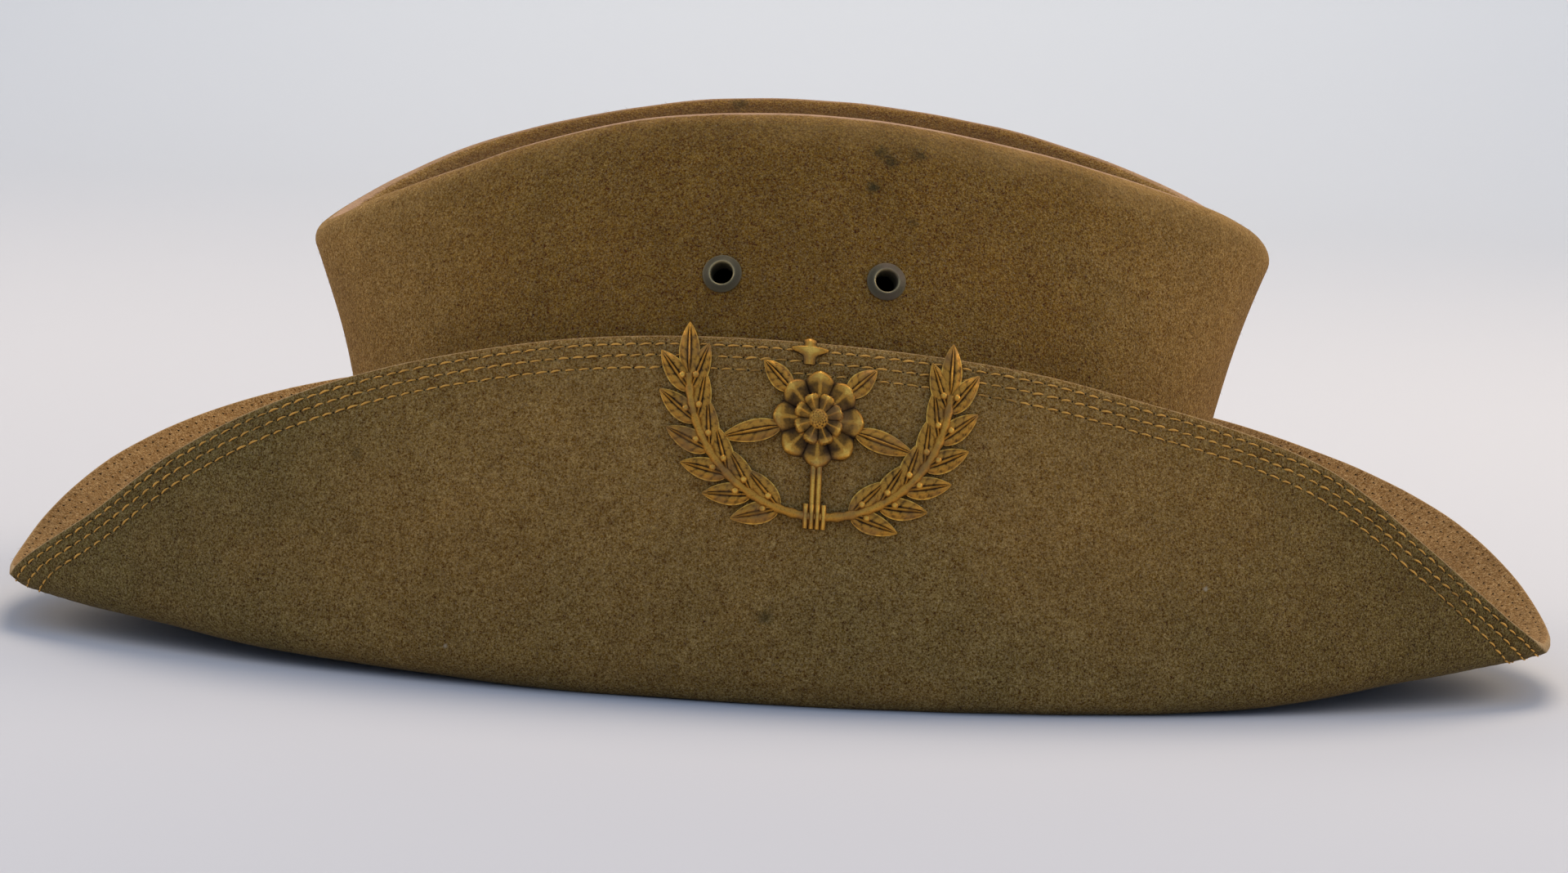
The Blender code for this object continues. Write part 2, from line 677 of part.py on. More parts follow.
def spray(side):
    """One laurel spray: its stem, its leaves in pairs and the leaf at its end."""
    pieces = [spray_stem(side)]
    for i in range(SPRAY_PAIRS):
        angle = mix(SPRAY_START + FIRST_PAIR, SPRAY_END - LAST_PAIR, i / (SPRAY_PAIRS - 1))
        for spread in (LEAF_SPREAD, -LEAF_SPREAD):
            direction = spray_direction(angle, side, spread)
            pieces.append(leaf(spray_point(angle, side), direction, LEAF_LENGTH, LEAF_HALF_WIDTH))
    direction = spray_direction(SPRAY_END, side, 0)
    pieces.append(leaf(spray_point(SPRAY_END, side), direction, LEAF_LENGTH, LEAF_HALF_WIDTH))
    return pieces


def rosette_leaves(side):
    """The two leaves that stand out from one side of the rosette."""
    pieces = []
    for row in ROSETTE_LEAVES:
        turn = radians(row.angle)
        direction = Vector((side * cos(turn), sin(turn)))
        base = Vector((0, ROSETTE_V)) + direction * (ROSETTE_RADIUS - ROSETTE_LEAF_ROOT)
        pieces.append(leaf(base, direction, row.length, ROSETTE_LEAF_HALF_WIDTH))
    return pieces


def rosette():
    """A round flower of notched petals with a domed middle."""
    shape = bmesh.new()
    steps = ROSETTE_PETALS * PETAL_STEPS
    rings = []
    for row in ROSETTE_ROWS:
        ring = []
        for i in range(steps):
            turn = 2 * pi * i / steps
            notch = ROSETTE_NOTCH * row.notched * (1 - abs(cos(turn * ROSETTE_PETALS / 2)))
            radius = ROSETTE_RADIUS * row.share - notch
            ring.append(shape.verts.new((radius * cos(turn), ROSETTE_V + radius * sin(turn), row.height)))
        rings.append(ring)
    join_rings(shape, rings)
    shape.faces.new(rings[0])
    shape.faces.new(rings[-1])
    return shape


def block(u, v, half_u, half_v, thickness):
    """A plain bar lying on w = 0."""
    shape = bmesh.new()
    place = Matrix.Translation((u, v, thickness / 2)) @ Matrix.Diagonal((2 * half_u, 2 * half_v, thickness, 1))
    bmesh.ops.create_cube(shape, size=1, matrix=place)
    return shape


def rivet_post(v):
    """A post behind the badge and its head behind the felt."""
    felt_back = -2 * SEAT_GAP - FELT_THICKNESS
    place = Matrix.Translation((0, v, 0))
    return [
        cylinder(POST_RADIUS, POST_SIDES, felt_back - POST_HEAD / 2, POST_ROOT, place),
        cylinder(POST_HEAD_RADIUS, POST_SIDES, felt_back - POST_HEAD, felt_back, place),
    ]


def join_rings(shape, rings):
    """Faces between each ring of vertices and the next."""
    for ring, beside in zip(rings, rings[1:]):
        for i in range(len(ring)):
            j = (i + 1) % len(ring)
            shape.faces.new((ring[i], ring[j], beside[j], beside[i]))


def union(shapes):
    """Closed shapes joined into one body."""
    parts = []
    for shape in shapes:
        bmesh.ops.recalc_face_normals(shape, faces=shape.faces)
        mesh = bpy.data.meshes.new("shell")
        shape.to_mesh(mesh)
        shape.free()
        parts.append(bpy.data.objects.new("shell", mesh))
        bpy.context.collection.objects.link(parts[-1])
    body = parts[0]
    for part in parts[1:]:
        join = body.modifiers.new("join", "BOOLEAN")
        join.operation = "UNION"
        join.solver = "MANIFOLD"  # the leaves' backs share one plane, where EXACT leaves doubled edges
        join.object = part
    graph = bpy.context.evaluated_depsgraph_get()
    joined = bmesh.new()
    joined.from_mesh(body.evaluated_get(graph).to_mesh())
    for part in parts:
        bpy.data.objects.remove(part)
    return joined


def brim_badge(felt):
    """A cast brass badge: a rosette between two laurel sprays, riveted through the flap."""
    pieces = [rosette()]
    pieces.append(block(0, KNOT_V, KNOT_HALF, KNOT_HALF, KNOT_THICKNESS))
    pieces.append(block(0, (ROSETTE_V + KNOT_V) / 2, STALK_HALF, (ROSETTE_V - KNOT_V) / 2, STALK_THICKNESS))
    for side in (-1, 1):
        pieces += spray(side) + rosette_leaves(side)
    for i, v in enumerate((ROSETTE_V, KNOT_V)):
        pieces += rivet_post(v)
        hole(felt, f"badge_hole_{i}", POST_HOLE, POST_SIDES, flap_frame(BADGE_X, BADGE_HEIGHT + v))
    badge = union(pieces)
    bmesh.ops.remove_doubles(badge, verts=badge.verts, dist=BADGE_WELD)
    bmesh.ops.triangulate(badge, faces=badge.faces)
    stand_off = FELT_THICKNESS / 2 + SEAT_GAP
    for vert in badge.verts:
        u, v, w = vert.co
        vert.co = flap_frame(BADGE_X + u, BADGE_HEIGHT + v) @ Vector((0, 0, w + stand_off))
    bmesh.ops.recalc_face_normals(badge, faces=badge.faces)
    return finished(badge, "brim_badge", BRASS)


def brim_clip():
    """A brass clip bent over the flap's edge, with two ears in front and a short hook behind."""
    rib = brim_rib(CLIP_RIB)
    top = brim_point(rib, rib.width).z - crease_lift(CLIP_X)
    face = FELT_THICKNESS / 2 + SEAT_GAP
    shape = bmesh.new()

    def corner(across, level, distance):
        frame = flap_frame(CLIP_X + across, min(level, top))
        return shape.verts.new(frame @ Vector((0, max(0, level - top), distance)))

    rings = []
    for row in CLIP_ROWS:
        inner_level = top - row.drop
        outer_level = inner_level + CLIP_THICKNESS if row.drop < 0 else inner_level
        outer_face = face + CLIP_THICKNESS
        rings.append([
            corner(-row.half_width, inner_level, row.side * face),
            corner(row.half_width, inner_level, row.side * face),
            corner(row.half_width, outer_level, row.side * outer_face),
            corner(-row.half_width, outer_level, row.side * outer_face),
        ])
    join_rings(shape, rings)
    shape.faces.new(rings[0])
    shape.faces.new(rings[-1])
    bmesh.ops.triangulate(shape, faces=shape.faces)
    bmesh.ops.recalc_face_normals(shape, faces=shape.faces)
    return finished(shape, "brim_clip", BRASS)


def stand_on_origin(felt):
    """Moves everything so that the middle of the hat's underside is at the origin."""
    xs = [vert.co.x for vert in felt.data.vertices]
    ys = [vert.co.y for vert in felt.data.vertices]
    middle = Vector(((min(xs) + max(xs)) / 2, (min(ys) + max(ys)) / 2, 0))
    for obj in bpy.data.objects:
        obj.data.transform(Matrix.Translation(-middle))


def main():
    for obj in list(bpy.data.objects):
        bpy.data.objects.remove(obj)
    felt = felt_body()
    eyelets(felt)
    brim_badge(felt)
    brim_clip()
    stand_on_origin(felt)


main()
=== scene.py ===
"""The looks of a slouch hat: a felt body with its brim turned up, rows of stitching, vent eyelets, a badge.

Run as a script in Blender. Units are metres, +Z up. The hat's front points to -X and its turned-up side to
-Y. The felt is worked out as the middle surface of one sheet, from the bottom of the crown's dent over the
ridge, down the wall, out along the brim, round the fold and up the flap.
"""

from collections import namedtuple
from math import atan2, cos, degrees, pi, radians, sin, sqrt

import bmesh
import bpy
from bpy.props import FloatProperty, FloatVectorProperty, IntProperty, PointerProperty
from mathutils import Matrix, Vector, noise
from mathutils.bvhtree import BVHTree


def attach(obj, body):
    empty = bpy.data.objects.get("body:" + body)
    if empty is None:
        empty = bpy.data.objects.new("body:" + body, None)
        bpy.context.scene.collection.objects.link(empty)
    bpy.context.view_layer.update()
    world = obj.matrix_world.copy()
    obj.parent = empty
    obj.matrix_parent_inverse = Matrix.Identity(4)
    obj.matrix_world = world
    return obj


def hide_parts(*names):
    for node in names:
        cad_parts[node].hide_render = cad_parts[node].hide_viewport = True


bl_info = {
    "name": "Slouch Hat",
    "version": (1, 0, 0),
    "blender": (4, 5, 0),
    "location": "3D View > Sidebar > Slouch Hat",
    "description": "Builds a felt slouch hat with stitched brim, eyelets, badge and clip, on a plain stage",
    "category": "Object",
}

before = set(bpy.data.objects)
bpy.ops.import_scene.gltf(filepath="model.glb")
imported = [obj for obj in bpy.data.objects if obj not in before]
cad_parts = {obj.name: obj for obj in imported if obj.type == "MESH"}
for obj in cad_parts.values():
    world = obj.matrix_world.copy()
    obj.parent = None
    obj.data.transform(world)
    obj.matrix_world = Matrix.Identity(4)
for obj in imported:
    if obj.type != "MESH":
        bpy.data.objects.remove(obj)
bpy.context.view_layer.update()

MM = 0.001

# The felt's shape. These values are the ones that the hat's solids are made from.
STAND_SHIFT = Vector((0.0204 * MM, -30.0744 * MM, 0))  # puts the middle of the underside at the origin
FELT_THICKNESS = 2.5 * MM
SEAT_GAP = 0.3 * MM
SHEET_HEIGHT = 1.0 * MM
CROWN_X = -1.5 * MM
FOOT_HALF_LENGTH = 94.0 * MM
FOOT_HALF_WIDTH = 81.0 * MM
FOOT_ROLL = 3.5 * MM
RIDGE_HALF_LENGTH = 107.0 * MM
RIDGE_HALF_WIDTH = 46.0 * MM
RIDGE_ROLL = 3.5 * MM
WALL_POWER = 2.2
SEAM_HALF_LENGTH = 88.0 * MM
SEAM_HEIGHT = 96.5 * MM
FRONT_SEAM_HEIGHT = 84.0 * MM
BACK_SEAM_HEIGHT = 90.0 * MM
DENT_POWER = 2.0

CrestRow = namedtuple("CrestRow", "angle height")
CREST_ROWS = [
    CrestRow(angle, height * MM)
    for angle, height in (
        (0, 100.5), (15, 103.5), (30, 108.8), (45, 115.2), (60, 121.4), (75, 125.0), (90, 126.4), (105, 124.8),
        (120, 119.5), (135, 112.8), (150, 105.0), (165, 98.6), (180, 95.5), (195, 97.2), (210, 102.8),
        (225, 109.8), (240, 118.2), (255, 124.8), (270, 126.7), (285, 124.9), (300, 120.5), (315, 115.3),
        (330, 110.0), (345, 104.5),
    )
]

BRIM_CURL_POWER = 1.6
BRIM_FLAT = 8.0 * MM
BRIM_FLAT_SHARE = 0.3
CREASE_DEPTH = 88.75 * MM
CREASE_TIP_X = 176.0 * MM
CREASE_TIP_DEPTH = 31.75 * MM
CREASE_SAGITTA = CREASE_DEPTH - CREASE_TIP_DEPTH
CREASE_RADIUS = (CREASE_TIP_X**2 + CREASE_SAGITTA**2) / (2 * CREASE_SAGITTA)
CREASE_CENTRE = Vector((0, CREASE_RADIUS - CREASE_DEPTH))
FOLD_ROLL = 4.5 * MM
FLAP_LEAN = 14.5 * MM
FLAP_LEAN_HEIGHT = 71.0 * MM
FLAP_LEAN_POWER = 1.7

CREASE_ROWS = [
    (x * MM, lift * MM)
    for x, lift in (
        (-200, 13.0), (-176, 9.8), (-136, 5.9), (-100, 3.4), (-60, 2.8), (-10, 2.8), (35, 0.8), (67, 0.0),
        (88, 0.2), (115, 2.3), (142, 7.0), (176, 11.0), (200, 13.0),
    )
]

BrimRow = namedtuple("BrimRow", "angle width rise")
BRIM_ROWS = [
    BrimRow(angle, width * MM, rise * MM)
    for angle, width, rise in (
        (0, 85.0, 12.0), (8, 84.0, 20.0), (18, 83.0, 29.3), (35, 82.0, 39.7), (50, 81.1, 45.8),
        (90, 80.5, 48.0), (130, 81.1, 45.7), (145, 81.4, 40.8), (162, 81.8, 29.0), (173, 82.0, 17.5),
        (180, 82.0, 11.5), (190, 81.2, 11.0), (200, 79.4, 11.0), (210, 82.0, 11.0), (225, 82.6, 11.0),
        (245, 79.6, 11.0), (270, 77.0, 11.0), (300, 82.3, 11.0), (322, 86.2, 11.0), (335, 81.2, 11.0),
        (345, 80.4, 11.0), (352, 83.6, 11.0),
    )
]

# Where the ribs of the felt's mesh stand, in degrees, and how many rows each part of a rib has.
RibSpan = namedtuple("RibSpan", "start end ribs")
RIB_SPANS = (
    RibSpan(start=15, end=165, ribs=90),
    RibSpan(start=165, end=210, ribs=45),
    RibSpan(start=210, end=330, ribs=84),
    RibSpan(start=330, end=375, ribs=45),
)
DENT_ROWS = 14
RIDGE_ROWS = 12
WALL_ROWS = 32
FOOT_ROWS = 6
FLOOR_ROWS = 20
FOLD_ROWS = 10
FLAP_ROWS = 26
FLAP_ROOM = 8.0 * MM
FOLD_ROOM = 7.0 * MM
RIM_STEPS = 4

StitchRow = namedtuple("StitchRow", "inset seed slant")
STITCH_ROWS = (
    StitchRow(inset=1.5 * MM, seed=3, slant=0.05),
    StitchRow(inset=3.9 * MM, seed=11, slant=0.07),
    StitchRow(inset=6.5 * MM, seed=29, slant=0.04),
)

EYELET_PLACES = {"front": -15.8 * MM, "back": 20.0 * MM}
EYELET_HEIGHT = 91.4 * MM
EYELET_HOLE = 3.1 * MM
HOLE_REACH = 4.0 * MM

BADGE_X = 7.0 * MM
BADGE_HEIGHT = 57.3 * MM
SPRAY_CENTRE_V = 12.0 * MM
SPRAY_HALF_WIDTH = 29.5 * MM
SPRAY_DEPTH = 30.0 * MM
SPRAY_START = -85
SPRAY_END = -4
SPRAY_STEM_TAIL = 8
FIRST_PAIR = 10
LAST_PAIR = 7
SPRAY_PAIRS = 6
SPRAY_STEM_RADIUS = 1.0 * MM
LEAF_SPREAD = 30
LEAF_LENGTH = 11.0 * MM
LEAF_HALF_WIDTH = 2.4 * MM
LEAF_EDGE = 0.9 * MM
LEAF_RIB = 1.7 * MM
ROSETTE_V = 2.5 * MM
ROSETTE_RADIUS = 10.2 * MM
ROSETTE_PETALS = 8
ROSETTE_NOTCH = 1.5 * MM
ROSETTE_LEAVES = ((-14, 14.0 * MM), (42, 9.0 * MM))
ROSETTE_LEAF_ROOT = 2.0 * MM
KNOT_V = -18.0 * MM
KNOT_HALF = 2.6 * MM
KNOT_THICKNESS = 2.4 * MM
STALK_HALF = 1.3 * MM
STALK_THICKNESS = 1.5 * MM
POST_RADIUS = 1.2 * MM
POST_HOLE = 1.5 * MM
POST_HEAD_RADIUS = 2.4 * MM
POST_HEAD = 0.8 * MM

CLIP_X = 4.4 * MM
CLIP_RIB = 272.5
CLIP_THICKNESS = 0.8 * MM
FRAME_STEP = 1e-3
WALL_SEARCH_ROUNDS = 20


def mix(a, b, share):
    return a + (b - a) * share


def through_rows(rows, place):
    """The value at a place on a smooth curve, from the four rows (place, value) round it."""
    places, values = zip(*rows)
    span = places[2] - places[1]
    share = (place - places[1]) / span
    slope_in = (values[2] - values[0]) / (places[2] - places[0]) * span
    slope_out = (values[3] - values[1]) / (places[3] - places[1]) * span
    square, cube = share**2, share**3
    return (
        (2 * cube - 3 * square + 1) * values[1]
        + (cube - 2 * square + share) * slope_in
        + (3 * square - 2 * cube) * values[2]
        + (cube - square) * slope_out
    )


def smooth_row(table, angle, column):
    """One column of a table at any angle, on a smooth closed curve through its rows."""
    count = len(table)
    angle %= 360
    last = max(i for i in range(count) if table[i].angle <= angle)
    rows = []
    for i in range(last - 1, last + 3):
        row = table[i % count]
        rows.append((row.angle + 360 * (i // count), getattr(row, column)))
    return through_rows(rows, angle)


def crease_lift(x):
    """How high the fold lies above the sheet's lowest level, at this x."""
    last = max(i for i in range(1, len(CREASE_ROWS) - 2) if CREASE_ROWS[i][0] <= x or i == 1)
    return through_rows(CREASE_ROWS[last - 1 : last + 3], x)


def oval(angle, half_length, half_width):
    turn = radians(angle)
    return Vector((CROWN_X + half_length * cos(turn), half_width * sin(turn)))


def oval_normal(angle, half_length, half_width):
    turn = radians(angle)
    return Vector((cos(turn) / half_length, sin(turn) / half_width)).normalized()


def upright(flat, height):
    return Vector((flat.x, flat.y, height))


def seam_point(angle):
    """The bottom of the crown's dent, on the middle line."""
    turn = radians(angle)
    low = mix(FRONT_SEAM_HEIGHT, BACK_SEAM_HEIGHT, (1 + cos(turn)) / 2)
    height = SEAM_HEIGHT - (SEAM_HEIGHT - low) * cos(turn) ** 2
    return Vector((CROWN_X + SEAM_HALF_LENGTH * cos(turn), 0, height))


def ridge_arc(angle):
    """The ridge's roll: its centre, its outward direction, and the angles where dent and wall meet it."""
    half = FELT_THICKNESS / 2
    centre = upright(
        oval(angle, RIDGE_HALF_LENGTH, RIDGE_HALF_WIDTH),
        smooth_row(CREST_ROWS, angle, "height") - half - RIDGE_ROLL,
    )
    out = oval_normal(angle, RIDGE_HALF_LENGTH, RIDGE_HALF_WIDTH).to_3d()
    foot = oval(angle, FOOT_HALF_LENGTH, FOOT_HALF_WIDTH)
    flare = WALL_POWER * (centre.to_2d() - foot).dot(out.to_2d())
    wall_turn = -atan2(flare, centre.z - SHEET_HEIGHT - FOOT_ROLL)
    dent = seam_point(angle)
    inner = centre - out * RIDGE_ROLL
    drop = atan2(DENT_POWER * (inner.z - dent.z), (inner - dent).to_2d().length)
    return centre, out, pi / 2 + drop, wall_turn


def ridge_point(angle, share):
    """A point on the ridge's roll, from the dent at 0 to the wall at 1."""
    centre, out, dent_turn, wall_turn = ridge_arc(angle)
    turn = mix(dent_turn, wall_turn, share)
    return centre + out * (RIDGE_ROLL * cos(turn)) + Vector((0, 0, RIDGE_ROLL * sin(turn)))


def dent_point(angle, share):
    """A point in the dent, from the middle line at 0 to the ridge at 1."""
    bottom = seam_point(angle)
    top = ridge_point(angle, 0)
    point = bottom.lerp(top, share)
    point.z = mix(bottom.z, top.z, share**DENT_POWER)
    return point


def wall_point(angle, share):
    """A point on the crown's wall, from its foot at 0 to the ridge at 1."""
    foot = upright(oval(angle, FOOT_HALF_LENGTH, FOOT_HALF_WIDTH), SHEET_HEIGHT + FOOT_ROLL)
    top = ridge_point(angle, 1)
    point = foot.lerp(top, share**WALL_POWER)
    point.z = mix(foot.z, top.z, share)
    return point


def foot_point(angle, share):
    """A point on the bend at the crown's foot, from the wall at 0 to the brim at 1."""
    foot = oval(angle, FOOT_HALF_LENGTH, FOOT_HALF_WIDTH)
    out = oval_normal(angle, FOOT_HALF_LENGTH, FOOT_HALF_WIDTH)
    turn = share * pi / 2
    return upright(foot + out * (FOOT_ROLL * (1 - cos(turn))), SHEET_HEIGHT + FOOT_ROLL * (1 - sin(turn)))


def reach_to_ring(start, out, radius):
    """How far along a rib the ring of this radius round the crease's centre lies."""
    from_centre = start - CREASE_CENTRE
    along = from_centre.dot(out)
    return -along + sqrt(along**2 - from_centre.length_squared + radius**2)


Rib = namedtuple("Rib", "start out width rise crossing")


def brim_rib(angle):
    """One rib of the brim, from the foot's bend outwards, and where it crosses the crease."""
    start = foot_point(angle, 1).to_2d()
    out = oval_normal(angle, FOOT_HALF_LENGTH, FOOT_HALF_WIDTH)
    crossing = reach_to_ring(start, out, CREASE_RADIUS)
    width = smooth_row(BRIM_ROWS, angle, "width")
    if crossing < width:
        rise = crease_lift((start + out * crossing).x)
    else:
        rise = smooth_row(BRIM_ROWS, angle, "rise")
        crossing = width
    return Rib(start, out, width, rise, crossing)


def brim_point(rib, distance):
    """A point of the brim this far along a rib, folded up where it lies past the crease."""
    slant = sqrt(1 - (rib.rise / rib.width) ** 2)
    flat = rib.start + rib.out * (distance * slant)
    flat_band = min(BRIM_FLAT, BRIM_FLAT_SHARE * rib.crossing)
    share = max(0, distance - flat_band) / (rib.crossing - flat_band)
    height = SHEET_HEIGHT + rib.rise * min(1, share) ** BRIM_CURL_POWER
    from_centre = flat - CREASE_CENTRE
    past_start = from_centre.length - CREASE_RADIUS + FOLD_ROLL
    if past_start <= 0:
        return upright(flat, height)
    away = from_centre.normalized()
    crease = CREASE_CENTRE + away * CREASE_RADIUS
    if rib.crossing < distance:
        height = SHEET_HEIGHT + crease_lift(crease.x)
    if past_start < FOLD_ROLL * pi / 2:
        turn = past_start / FOLD_ROLL
        inward = FOLD_ROLL * (1 - sin(turn))
        height += FOLD_ROLL * (1 - cos(turn))
    else:
        climb = past_start - FOLD_ROLL * pi / 2
        inward = FLAP_LEAN * (climb / FLAP_LEAN_HEIGHT) ** FLAP_LEAN_POWER
        height += FOLD_ROLL + climb
    return upright(crease - away * inward, height)


def brim_distances(rib):
    """Where the rows of the mesh lie along a rib: the brim, the fold and the flap."""
    fold_start = reach_to_ring(rib.start, rib.out, CREASE_RADIUS - FOLD_ROLL)
    fold_end = reach_to_ring(rib.start, rib.out, CREASE_RADIUS + FOLD_ROLL * (pi / 2 - 1))
    fold_end = min(fold_end, rib.width - FLAP_ROOM)
    fold_start = min(fold_start, fold_end - FOLD_ROOM)
    rows = [fold_start * (i + 1) / FLOOR_ROWS for i in range(FLOOR_ROWS - 1)]
    rows += [mix(fold_start, fold_end, i / FOLD_ROWS) for i in range(FOLD_ROWS)]
    rows += [mix(fold_end, rib.width, i / FLAP_ROWS) for i in range(FLAP_ROWS + 1)]
    return rows


def rib_angles():
    angles = []
    for span in RIB_SPANS:
        step = (span.end - span.start) / span.ribs
        angles += [span.start + step * i for i in range(span.ribs)]
    return angles


def felt_rib(angle):
    """The middle of the felt along one rib, from the dent's bottom to the brim's edge."""
    points = [dent_point(angle, i / DENT_ROWS) for i in range(DENT_ROWS)]
    points += [ridge_point(angle, i / RIDGE_ROWS) for i in range(RIDGE_ROWS + 1)]
    points += [wall_point(angle, 1 - (i + 1) / WALL_ROWS) for i in range(WALL_ROWS)]
    points += [foot_point(angle, (i + 1) / FOOT_ROWS) for i in range(FOOT_ROWS)]
    rib = brim_rib(angle)
    points += [brim_point(rib, distance) for distance in brim_distances(rib)]
    return [point + STAND_SHIFT for point in points]


def surface_frame(point_at, first, second, out_hint):
    """A matrix whose Z is the normal of the surface point_at(first, second), pointing along out_hint."""
    along = (point_at(first + FRAME_STEP, second) - point_at(first - FRAME_STEP, second)).normalized()
    up = (point_at(first, second + FRAME_STEP) - point_at(first, second - FRAME_STEP)).normalized()
    normal = along.cross(up).normalized()
    if normal.dot(out_hint) < 0:
        normal.negate()
    along = up.cross(normal).normalized()
    turn = Matrix((along, up, normal)).transposed().to_4x4()
    return Matrix.Translation(point_at(first, second) + STAND_SHIFT) @ turn


def wall_frame(x, height, side):
    """The frame of the spot on the wall with this x and height, on the far side (1) or the near side (-1)."""
    angle = 90 * side
    for _ in range(WALL_SEARCH_ROUNDS):
        foot = wall_point(angle, 0)
        top = wall_point(angle, 1)
        share = (height - foot.z) / (top.z - foot.z)
        point = wall_point(angle, share)
        angle += degrees((point.x - x) / FOOT_HALF_LENGTH) * side
    return surface_frame(wall_point, angle, share, Vector((0, side, 0)))


def flap_point(along, climb):
    """The middle of the flap's felt, this far along the crease from the hat's middle and up from the fold."""
    turn = along / CREASE_RADIUS
    away = Vector((sin(turn), -cos(turn)))
    inward = FLAP_LEAN * (climb / FLAP_LEAN_HEIGHT) ** FLAP_LEAN_POWER
    crease = CREASE_CENTRE + away * CREASE_RADIUS
    height = SHEET_HEIGHT + crease_lift(crease.x) + FOLD_ROLL + climb
    return upright(crease - away * inward, height)


def flap_frame(along, height):
    climb = height - SHEET_HEIGHT - FOLD_ROLL
    return surface_frame(flap_point, along, climb, Vector((0, -1, 0)))


# Settings


def length_setting(name, description, default):
    return FloatProperty(name=name, description=description, default=default, unit="LENGTH", precision=5)


def colour_setting(name, description, default):
    return FloatVectorProperty(
        name=name, description=description, default=default, size=3, subtype="COLOR", min=0, max=1,
    )


class FeltSettings(bpy.types.PropertyGroup):
    thickness: length_setting("Thickness", "How thick the felt is", FELT_THICKNESS)
    unevenness: length_setting("Unevenness", "How far the felt strays from an even surface", 0.45 * MM)
    nap: FloatProperty(
        name="Nap", description="Loose fibres on each square metre of felt", default=90000.0, min=0,
    )
    brown: colour_setting("Brown", "The crown's warm brown", (0.200, 0.094, 0.0128))
    dusty: colour_setting("Dusty", "The greyer brown of the brim's underside", (0.260, 0.1365, 0.0325))
    # The olive also paints shade low on the flap and towards its ends.
    olive: colour_setting("Olive", "The greener brown towards the flap's foot", (0.133, 0.0855, 0.0230))
    worn: colour_setting("Worn", "The pale felt at its cut edge", (0.44, 0.29, 0.14))


class StitchSettings(bpy.types.PropertyGroup):
    stitches: IntProperty(
        name="Stitches", description="How many stitches there are in one row round the brim", default=306, min=12,
    )
    length: length_setting("Stitch Length", "Length of the thread that shows", 2.55 * MM)
    radius: length_setting("Thread Radius", "Half the thread's thickness", 0.20 * MM)
    colour: colour_setting("Thread", "Golden tan thread", (0.68, 0.335, 0.058))


class MetalSettings(bpy.types.PropertyGroup):
    # The bright brass also stands for painted highlights, and the recess colour for painted shade as well as
    # tarnish.
    brass: colour_setting("Brass", "Brass where it is rubbed bright", (0.88, 0.49, 0.080))
    aged: colour_setting("Aged Brass", "The brown that most of the brass has turned", (0.53, 0.249, 0.033))
    recess: colour_setting("Recess", "Dark tarnish in the badge's recesses", (0.022, 0.011, 0.007))
    patina: colour_setting("Patina", "Dark green-grey of the eyelets", (0.080, 0.062, 0.029))


class StageSettings(bpy.types.PropertyGroup):
    focal_length: FloatProperty(
        name="Focal Length", description="The camera's focal length in millimetres", default=103.98, min=10,
    )
    light: FloatProperty(
        name="Light", description="Strength of all the lamps, as a factor", default=1.0, min=0,
    )
    floor: colour_setting("Floor", "The plain pale floor", (0.580, 0.562, 0.550))


class HatSettings(bpy.types.PropertyGroup):
    felt: PointerProperty(name="Felt", description="The felt body", type=FeltSettings)
    stitches: PointerProperty(name="Stitches", description="The brim's stitching", type=StitchSettings)
    metal: PointerProperty(name="Metal", description="Badge, clip and eyelets", type=MetalSettings)
    stage: PointerProperty(name="Stage", description="Floor, lamps and camera", type=StageSettings)


# Node trees


class Tree:
    """A node tree and a short way to add to it."""

    def __init__(self, tree):
        self.tree = tree

    def add(self, kind, inputs=(), **settings):
        """A new node, with each input linked from another socket or set to a plain value."""
        node = self.tree.nodes.new(kind)
        for key, value in settings.items():
            setattr(node, key, value)
        for key, value in dict(inputs).items():
            if isinstance(value, bpy.types.NodeSocket):
                self.tree.links.new(value, node.inputs[key])
            else:
                opaque = node.inputs[key].type == "RGBA" and len(value) == 3
                node.inputs[key].default_value = (*value, 1) if opaque else value
        return node

    def out(self, kind, inputs=(), **settings):
        return self.add(kind, inputs, **settings).outputs[0]

    def math(self, operation, *values, clamp=False):
        return self.out("ShaderNodeMath", dict(enumerate(values)), operation=operation, use_clamp=clamp)

    def times(self, first, *others):
        for other in others:
            first = self.math("MULTIPLY", first, other)
        return first

    def size(self, value):
        return self.math("ABSOLUTE", value)

    def vector(self, x=0.0, y=0.0, z=0.0):
        return self.out("ShaderNodeCombineXYZ", {0: x, 1: y, 2: z})

    def vector_math(self, operation, *values):
        return self.out("ShaderNodeVectorMath", dict(enumerate(values)), operation=operation)


